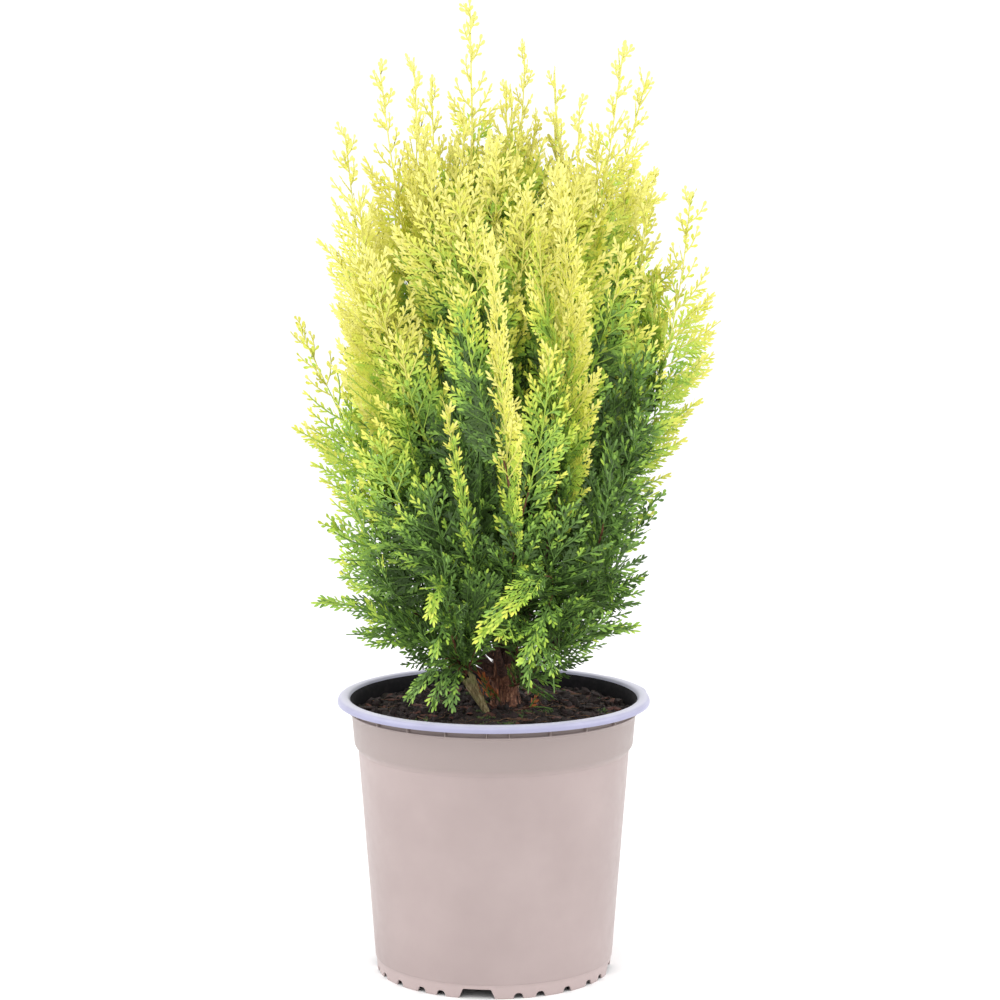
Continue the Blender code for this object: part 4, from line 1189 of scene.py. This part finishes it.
def fanPlumes(dice):  # the solids' fans with their children
    plumes = []
    for name, course in boughFans.items():
        path = fanPath(*course[:-1])
        gold = goldOfFan.get(name, 0)
        airy = 0.2 if name in foliage["denseFans"] else 0.35 if name == "left_front" else 0.7
        plumes.append(newPlume(name, path, boughSizes["share"], course[-1], gold, airy, 0.0005))
        count = foliage["childrenOfLowBough" if "low" in name or "lime" in name else "childrenOfBough"]
        count = foliage["childrenOf"].get(name, count)
        plumes += childPlumes(path, course, count, goldOfChildren.get(name, gold * 0.7), min(airy, 0.6), dice)
    for name, course in trunkFans.items():
        path = fanPath(*course[:-1])
        gold = goldOfFan.get(name, 0)
        crest = "crest" in name
        plumes.append(newPlume(name, path, 0, course[-1], gold, 1.0 if crest else 0.3, 0.0008, bare=0.14))
        if crest:
            plumes += childPlumes(path, course, foliage["childrenOfCrest"], gold * 0.7, 0.8, dice, 48)
    return plumes


def leaderPlume():
    foot = trunkAt(trunkSizes["endHeight"] - 0.002)
    path = pathThrough([blend(foot, leaderTip, share) for share in (0, 0.33, 0.66, 1)], 270)
    return newPlume("leader", path, 0, 0.026, goldOfFan["leader"], 0.9, 0.0006, step=0.0072, sparse=-0.03)


def shootPlume(azimuth, root, reach, top, bulge, sag, breadths, gold, airy, dice):
    tip = outward(azimuth) * reach + (0, 0, top)
    bend = root * 0.5 + tip * 0.5 + outward(azimuth) * reach * bulge - (0, 0, sag)
    path = pathThrough((root, root * 0.75 + bend * 0.25, bend, tip), azimuth, 0, dice.uniform(-80, 80))
    return newPlume("leader", path, 0, dice.uniform(*breadths), gold, airy, 0.0006)


def innerPlumes(dice):  # what fills the top between the fans' tips and closes the view through the middle
    plumes = []
    for k in range(foliage["topShoots"]):
        azimuth = k * goldenTurn + dice.uniform(-20, 20)
        root = trunkAt(dice.uniform(*foliage["topShootRoots"]))
        reach, top = dice.uniform(*foliage["topShootReach"]), dice.uniform(*foliage["topShootTips"])
        plumes.append(shootPlume(azimuth, root, reach, top, 0.3, 0.006, (0.026, 0.036), 0.12, 0.9, dice))
    for k in range(foliage["innerShoots"]):
        root = trunkAt(dice.uniform(*foliage["innerShootRoots"]))
        reach, top = dice.uniform(*foliage["innerShootReach"]), root[2] + dice.uniform(0.03, 0.06)
        plumes.append(shootPlume(k * goldenTurn, root, reach, top, 0.2, 0, (0.026, 0.034), -0.14, 0.1, dice))
    for azimuth in (20, 80, 140):  # short sprays straight off the trunk, between the fans
        path = pathThrough([trunkAt(0.27 + 0.174 * k / 3) for k in range(4)], azimuth)
        plumes.append(newPlume("leader", path, 0, 0.026, -0.06, 0.3, 0.0006, step=0.014))
    return plumes


def lowerPlumes():  # the clump on the basal shoot, the short plumes in the tables and the dead sprigs
    plumes = [newPlume("front_clump", basalPaths()[1], 0, 0.036, goldOfFan["front_clump"], 0.2, 0.0010)]
    for *controls, azimuth, twist, breadth, gold in lowPlumes:
        path = pathThrough(controls, azimuth, 0, twist)
        plumes.append(newPlume("low", path, 0, breadth, gold, 0.1, 0.0006, step=0.006, bare=0.1, acute=0.62))
    for controls in deadSprigs:
        path = pathThrough(controls, 330, 0, 60)
        plumes.append(newPlume("dead", path, 0, 0.009, 0, 0.1, 0.0004, step=0.005))
    return plumes


def frontPlumes():
    plumes = []
    for azimuth, rootHeight, reach, tipHeight, twist in frontShoots:
        root = trunkAt(rootHeight)
        tip = outward(azimuth) * reach + (0, 0, tipHeight)
        bend = outward(azimuth) * reach * 0.9 + (0, 0, rootHeight * 0.45 + tipHeight * 0.55)
        low = root * 0.5 + bend * 0.5 - (0, 0, 0.008)
        path = pathThrough((root, low, bend, tip), azimuth, 0, twist)
        gold = np.interp(tipHeight, *goldOfFrontShoots)
        plumes.append(newPlume("shoot", path, 0.2, 0.038, gold, 0.3, 0.0006))
    return plumes


def opennessAt(plume, place):  # 0 where the sprays stand close, towards 1 near a sparse tip
    length = plume["path"]["length"]
    near, far = min(0.034, 0.24 * length), min(0.085, 0.5 * length)
    return plume["airy"] * (1 - ease(near, far, (1 - place) * length + plume["sparse"]))


# what each group of sprays gives, in this order
sprayKeys = ("root", "heading", "inward", "length", "share", "open")


def sideSprays(plume, first, dice):  # to both sides of the stem in turn, in the fan's plane
    path, place, places = plume["path"], first, []
    while place < 0.995:
        places.append(place)
        step = plume["step"] / 2 * (1 + 1.7 * opennessAt(plume, place))
        place += step * dice.uniform(0.75, 1.25) / path["length"]
    place = np.array(places)
    share = (place - first) / (1 - first)
    point, along, outer, _ = readPath(path, place)
    side = np.where(np.arange(len(place)) % 2, 1.0, -1.0)
    openness = opennessAt(plume, place)
    angle = blend(*foliage["sprayAngles"], share) * plume["acute"]
    angle = np.radians(angle + dice.normal(0, foliage["angleSpread"], len(place)) + 9 * openness)
    length = plume["breadth"] * sprayBreadth(share) * dice.uniform(*foliage["sprayLengths"], len(place))
    length *= 1 - 0.55 * openness
    left = (1 - place) * path["length"]
    length = np.minimum(length, (left + 0.005) * dice.uniform(0.8, 1.0, len(place)))
    heading = along * np.cos(angle)[:, None] + outer * (side * np.sin(angle))[:, None]
    roll = np.radians(dice.uniform(-foliage["roll"], foliage["roll"], len(place)))[:, None]
    return point, heading, rolled(heading, squareTo(heading, along), roll), length, share, openness


def crossSprays(plume, first, dice):  # short ones that stand out of the plane, front and back in turn
    path = plume["path"]
    count = max(int(path["length"] * (1 - first) / plume["cross"]), 2)
    place = first + (1 - first) * (np.arange(count) + dice.uniform(0.1, 0.9, count)) / (count + 0.5)
    share = (place - first) / (1 - first)
    point, along, outer, normal = readPath(path, place)
    out = np.where(np.arange(count) % 2, 1.0, -1.0)[:, None]
    sway = dice.uniform(-0.7, 0.7, (count, 1))
    out = normal * out * np.cos(sway) + outer * np.sin(sway)
    angle = np.radians(dice.uniform(*foliage["crossAngles"], (count, 1)))
    heading = along * np.cos(angle) + out * np.sin(angle)
    length = plume["breadth"] * dice.uniform(*foliage["crossLengths"], count) * (1 - 0.45 * share)
    length = np.minimum(length, (1 - place) * path["length"] + 0.004)
    inward = rolled(heading, squareTo(heading, along), dice.uniform(-0.9, 0.9, (count, 1)))
    return point, heading, inward, length, share, opennessAt(plume, place)


def endSpray(plume, first):  # the stem's own end is a spray too
    path = plume["path"]
    start = max(1 - 0.55 * plume["breadth"] / path["length"], first)
    point, _, outer, _ = readPath(path, np.array([start]))
    heading = unit(path["points"][-1:] - point)
    return point, heading, squareTo(heading, outer), [(1 - start) * path["length"]], [1.0], [plume["airy"]]


def plumeSprays(plume, dice):
    first = plume["begin"] + plume["bare"] * (1 - plume["begin"])
    groups = sideSprays(plume, first, dice), crossSprays(plume, first, dice), endSpray(plume, first)
    sprays = {key: np.concatenate(parts) for key, parts in zip(sprayKeys, zip(*groups))}
    total = len(sprays["root"])
    sprays["curve"] = np.radians(dice.uniform(*foliage["sprayCurves"], total))
    sprays["curve"] += 0.5 * sprays["open"]  # sparse shoots at the top turn up
    sprays["curve"][-1] = 0.02
    sprays["gold"] = plume["gold"] + dice.normal(0, foliage["sprayGold"], total)
    tips, _ = alongSprays(sprays, np.arange(total), np.ones(total))
    kept = tips[:, 2] > undersideAt(np.hypot(tips[:, 0], tips[:, 1]))
    return {key: values[kept] for key, values in sprays.items()}


def alongSprays(sprays, index, t):  # place and direction at share t of the sprays that index names
    curve = sprays["curve"][index][:, None]
    heading, inward = sprays["heading"][index], sprays["inward"][index]
    length = sprays["length"][index][:, None]
    t = t[:, None]
    bent = (heading * np.sin(curve * t) + inward * (1 - np.cos(curve * t))) / curve
    direction = heading * np.cos(curve * t) + inward * np.sin(curve * t)
    return sprays["root"][index] + length * bent, direction


def bladesOf(sprays, dice):
    index, t, side = [], [], []
    steps = foliage["bladeStep"] * (1 + 1.1 * sprays["open"])
    counts = np.maximum(np.round(sprays["length"] / steps), 2).astype(int)
    for i, count in enumerate(counts):
        for sign, offset in ((1.0, 0.35), (-1.0, 0.85)):
            index.append(np.full(count, i))
            t.append((np.arange(count) + offset) / (count + 0.6))
            side.append(np.full(count, sign))
    index, t, side = np.concatenate(index), np.concatenate(t), np.concatenate(side)
    t = np.clip(t + dice.normal(0, 0.012, len(t)), 0.02, 0.97)
    place, direction = alongSprays(sprays, index, t)
    normal = unit(np.cross(sprays["heading"][index], sprays["inward"][index]))
    across = np.cross(normal, direction)
    angle = blend(*foliage["bladeAngles"], t) + dice.normal(0, foliage["bladeSpread"], len(t))
    angle = np.radians(angle)[:, None]
    heading = direction * np.cos(angle) + across * np.sin(angle) * side[:, None]
    longest = np.minimum(sprays["length"][index] * foliage["bladeShare"], foliage["longestBlade"])
    longest = longest * (1 - 0.35 * sprays["open"][index])
    profile = (0.5 + 0.5 * ease(0, 0.22, t)) * (1 - t) ** 0.62
    length = longest * profile * dice.uniform(0.8, 1.12, len(t)) * np.where(side < 0, 1.08, 0.9)
    length = np.maximum(length, foliage["shortestBlade"] * dice.uniform(0.85, 1.3, len(t)))
    length = np.where(sprays["open"][index] > 0.4, np.clip(length, *foliage["openBlades"]), length)
    # one more blade carries each spray to its point
    ends = np.arange(len(sprays["length"]))
    endPlace, endDirection = alongSprays(sprays, ends, np.full(len(ends), 0.9))
    place = np.concatenate([place, endPlace])
    heading = np.concatenate([heading, endDirection])
    forward = np.concatenate([direction, endDirection])
    normal = np.concatenate([normal, unit(np.cross(sprays["heading"], sprays["inward"]))])
    length = np.concatenate([length, np.clip(sprays["length"] * 0.2, *foliage["endBlades"])])
    index, t = np.concatenate([index, ends]), np.concatenate([t, np.ones(len(ends))])
    roll = np.radians(dice.normal(0, foliage["bladeRoll"], len(t)))[:, None]
    across = rolled(heading, unit(np.cross(normal, heading)), roll)
    across *= np.where(dice.uniform(size=(len(t), 1)) < 0.5, 1.0, -1.0)
    return {"place": place, "heading": heading, "forward": forward, "across": across,
            "length": length, "t": t, "index": index}


def bladeShape(kind):  # points along, across and out of a blade, its faces by corners, and which are its foot
    length, count, longest, turnAtFoot, turnAtEnd, half, spine = kind
    points, fingers, footFingers = [], [], []
    for k in range(count):
        side = 1 if k % 2 else -1
        share = (0.06 + 0.62 * k / max(count - 0.4, 1)) if count > 1 else 0.3
        turn = math.radians(blend(turnAtFoot, turnAtEnd, share))
        reach = longest * (1 - 0.36 * share)
        ahead, aside = math.cos(turn), math.sin(turn) * side
        lean = 0.0003 * (1 if k % 3 else -1)
        fingers.append([len(points) + i for i in range(4)])
        footFingers.append(int(share < 0.2))
        for along, over in ((0, half * 0.8), (0.86, half), (1.0, -half * 0.7), (0, -half * 0.8)):
            points.append((length * share + ahead * along * reach - aside * over,
                           aside * along * reach + ahead * over * side, lean * along - abs(over) * 0.3))
    # the blunt end, drawn back to the foot as the blade's spine
    start, reach, base = max(length - 0.0036, 0), min(length, 0.0036), len(points)
    points += [(0, spine, 0), (start + reach * 0.62, half, 0), (start + reach * 0.97, half * 0.45, 0),
               (start + reach * 0.97, half * -0.45, 0), (start + reach * 0.62, -half, 0), (0, -spine, 0)]
    ends = np.array([[base, base + 1, base + 4, base + 5], [base + 1, base + 2, base + 3, base + 4]])
    faces = [ends] + ([np.array(fingers)] if fingers else [])
    bands = [np.array([int(count > 0), 0]), np.array(footFingers)][:len(faces)]
    return np.array(points), faces, bands, length


def clubShape():  # a single blunt blade on a narrow foot
    length, half = club["length"], club["half"]
    outline = ((0, 0.25), (0.34, 0.55), (0.62, 1.0), (0.88, 0.8), (1.0, 0.28))
    points = [(length * along, half * over, -half * over * 0.25) for along, over in outline]
    points += [(length * along, -half * over, -half * over * 0.25) for along, over in outline]
    faces = np.array([[k, k + 1, k + 6, k + 5] for k in range(4)])
    return np.array(points), [faces], [np.zeros(4, int)], length


def placeBlades(blades, chosen, shape, length):
    scale = (blades["length"][chosen] / length)[:, None, None]
    heading, across = blades["heading"][chosen][:, None], blades["across"][chosen][:, None]
    forward = blades["forward"][chosen][:, None]
    out = np.cross(heading, across)
    lean = unit(forward - heading * dot(forward, heading) + 1e-9)
    along = shape[None, :, 0:1]
    bend = along**2 / length * 0.14
    spread = heading * along + across * shape[None, :, 1:2] + out * shape[None, :, 2:3] + lean * bend
    return blades["place"][chosen][:, None] + spread * scale


# how far along the shades a place is: up and outwards, and less in the gaps, where the leaves are greener and
# painted darker as shade
def goldOfPlace(points, inFront):
    x, z = points[:, 0], points[:, 2]
    radius = np.hypot(x, points[:, 1])
    gold = np.interp(z, *goldByHeight)
    more, reach, fading = goldOutside
    gold += more * (ease(*reach, radius) - 0.75) * (1 - ease(*fading, z))
    less, reach, fading = greenInside
    gold -= less * (1 - ease(*reach, radius)) * (1 - ease(*fading, z))
    if not inFront:
        # painted shade: leaves in the gaps behind the front fans take darker, greener shades
        for middle, height, wide, tall, depth in paintedShadeGaps:
            gold -= depth * np.exp(-((x - middle) / wide) ** 2 - ((z - height) / tall) ** 2)
    return gold


def shadesOf(blades, sprays, inFront, dice):
    z = blades["place"][:, 2]
    gold = goldOfPlace(blades["place"], inFront) + sprays["gold"][blades["index"]]
    everywhere, higher = foliage["tipGold"]
    gold += (everywhere + higher * ease(*foliage["tipGoldHeights"], z)) * (blades["t"] - 0.4)
    gold += 0.10 * (sprays["share"][blades["index"]] - 0.4)
    uneven = dice.normal(0, foliage["unevenGold"], len(z))
    gold = np.maximum(gold, 0.08 + 2 * uneven) + uneven
    return np.clip((gold * goldShades).astype(int), 0, goldShades - 1)


# lobed blades by their length, needle-like ones low down, clubs where the spray is open
def kindsOf(blades, sprays, low, dice):
    z, length = blades["place"][:, 2], blades["length"]
    kinds = np.abs(length[:, None] - bladeLengths[None, :needleKinds[0]]).argmin(axis=1)
    needles = 1.0 if low else 1 - ease(*foliage["needleHeights"], z)
    needled = (dice.uniform(size=len(z)) < needles) & (length > foliage["shortestNeedle"])
    kinds[needled] = np.where(length[needled] > foliage["longNeedle"], needleKinds[1], needleKinds[0])
    kinds[sprays["open"][blades["index"]] > foliage["clubsFrom"]] = len(bladeKinds)
    return kinds


def fitsOverPot(points):  # over the rim outside, over the soil inside it
    radius = np.hypot(points[..., 0], points[..., 1])
    overSoil = (radius < 0.0755) & (points[..., 2] > soilHeight(points[..., 0], points[..., 1]) + 0.0006)
    return (points[..., 2] > foliage["underside"][1][0]) | overSoil


def joinMeshes(meshes):
    counts = [len(points) for points, _ in meshes]
    starts = np.concatenate(([0], np.cumsum(counts)[:-1]))
    return (np.concatenate([points for points, _ in meshes]),
            np.concatenate([faces + start for (_, faces), start in zip(meshes, starts)]))


# the twigs of a plume's sprays, then its stem: bark below, green, lime or gold above
def addTwigs(twigs, plume, sprays, inFront):
    places, radii = zip(*foliage["twigLine"])
    count, stations = len(sprays["length"]), len(places)
    spine, _ = alongSprays(sprays, np.repeat(np.arange(count), stations), np.tile(places, count))
    spine = spine.reshape(count, stations, 3)
    spine = spine[fitsOverPot(spine).all(axis=1)]
    radii = np.broadcast_to(radii, spine.shape[:2])
    tint = goldOfPlace(spine[:, 0], inFront) + plume["gold"]
    shades = np.digitize(tint, foliage["twigGold"])
    for shade in np.unique(shades):
        chosen = shades == shade
        twigs[greenTwigs[shade]].append(tubesAlong(spine[chosen], radii[chosen], 3))
    cuts = np.linspace(plume["begin"], 0.985, 6)
    for begin, end in zip(cuts, cuts[1:]):
        share = np.linspace(begin - 0.01, end, 6)
        middle = readPath(plume["path"], share)[0]
        tint = goldOfPlace(middle[3:4], inFront)[0] + plume["gold"]
        barky = end < foliage["barkUpTo"] and middle[3, 2] < foliage["barkBelow"]
        name = "redTwig" if barky else greenTwigs[int(np.digitize(tint, foliage["stemGold"]))]
        thick = blend(foliage["stemEnd"], plume["stem"], (1 - share) ** 1.5)
        twigs[name].append(tubesAlong(middle[None], thick[None], 6))


def makeFoliage():
    dice = np.random.default_rng(foliage["seed"])
    shapes = [bladeShape(kind) for kind in bladeKinds] + [clubShape()]
    leaves = {(shade, kind): [] for shade in range(len(leafShades)) for kind in range(len(shapes))}
    twigs = {name: [] for name in twigShades}
    low = np.array(cadBox[0]) - potAxis - foliage["past"]
    high = np.array(cadBox[1]) - potAxis + foliage["past"]
    plumes = [*fanPlumes(dice), leaderPlume(), *innerPlumes(dice), *lowerPlumes(), *frontPlumes()]
    for plume in plumes:
        sprays = plumeSprays(plume, dice)
        blades = bladesOf(sprays, dice)
        inFront = plume["name"] in fansOutsidePaintedShade
        shades = shadesOf(blades, sprays, inFront, dice)
        if plume["name"] == "dead":
            shades[:] = goldShades
        kinds = kindsOf(blades, sprays, plume["name"] == "low", dice)
        for kind, (shape, _, _, length) in enumerate(shapes):
            chosen = np.nonzero(kinds == kind)[0]
            points = placeBlades(blades, chosen, shape, length)
            clear = np.all((points > low) & (points < high), axis=(1, 2)) & fitsOverPot(points).all(axis=1)
            for shade in range(len(leafShades)):
                leaves[shade, kind].append(points[clear & (shades[chosen] == shade)])
        addTwigs(twigs, plume, sprays, inFront)
    addLeafPieces(leaves, shapes)
    for name, (colour, slot) in twigShades.items():
        material, _ = newMaterial(name, colour, 0.7)
        points, faces = joinMeshes(twigs[name])
        addPiece(name + "s", points, [faces], [material], slot, massNodes)


def addLeafPieces(leaves, shapes):  # a piece for each shade, a blade's foot a shade deeper than the rest
    materials = []
    for name, colour, _ in leafShades:
        material, shader = newMaterial(name, colour, 0.5)
        shader.inputs["Specular IOR Level"].default_value = 0.45
        materials.append(material)
    for shade, (name, _, slot) in enumerate(leafShades):
        points, faces, bands, start = [], [], [], 0
        for kind, (shape, polygons, deeper, _) in enumerate(shapes):
            group = np.concatenate(leaves[shade, kind])
            points.append(group.reshape(-1, 3))
            faces += [repeatFaces(each, len(group), len(shape), start) for each in polygons]
            bands += [np.tile(each, len(group)) for each in deeper]
            start += group.shape[0] * group.shape[1]
        both = [materials[shade], materials[max(shade - 1, 0)]]
        addPiece(name, np.concatenate(points), faces, both, slot, massNodes,
                 bands=np.concatenate(bands), smooth=False)


makeFoliage()
print("foliage made")


# studio: pale floor, white surroundings and a soft light to each side

studio = {
    "surround": 1.1,
    "floor": (252, 252, 252),
    "boxes": ((-1.75, -0.35, 1.1), (1.75, -0.25, 1.05), (-0.35, -1.6, 1.7)),
    "boxPower": (13.5, 13.5, 7.5),
    "boxSize": 1.3,
    "aim": (0, 0, 0.28),
}


def makeStudio():
    bm = bmesh.new()
    bmesh.ops.create_circle(bm, cap_ends=True, segments=96, radius=3.0)
    mesh = bpy.data.meshes.new("paleFloor")
    bm.to_mesh(mesh)
    bm.free()
    floor = addObject("paleFloor", mesh)
    material, _ = newMaterial("paleFloor", studio["floor"], 0.9)
    mesh.materials.append(material)
    world = bpy.data.worlds.new("surround")
    world.use_nodes = True
    background = world.node_tree.nodes["Background"]
    background.inputs["Color"].default_value = (1, 1, 1, 1)
    background.inputs["Strength"].default_value = studio["surround"]
    bpy.context.scene.world = world
    for name, place, power in zip(("leftBox", "rightBox", "topBox"), studio["boxes"], studio["boxPower"]):
        light = bpy.data.lights.new(name, "AREA")
        light.energy, light.size = power, studio["boxSize"]
        box = addObject(name, light)
        box.location = potAxis + np.array(place)
        heading = Vector(studio["aim"]) - Vector(place)
        box.rotation_euler = heading.to_track_quat("-Z", "Y").to_euler()
    bpy.context.scene.view_settings.view_transform = "Standard"


makeStudio()
print("studio made")
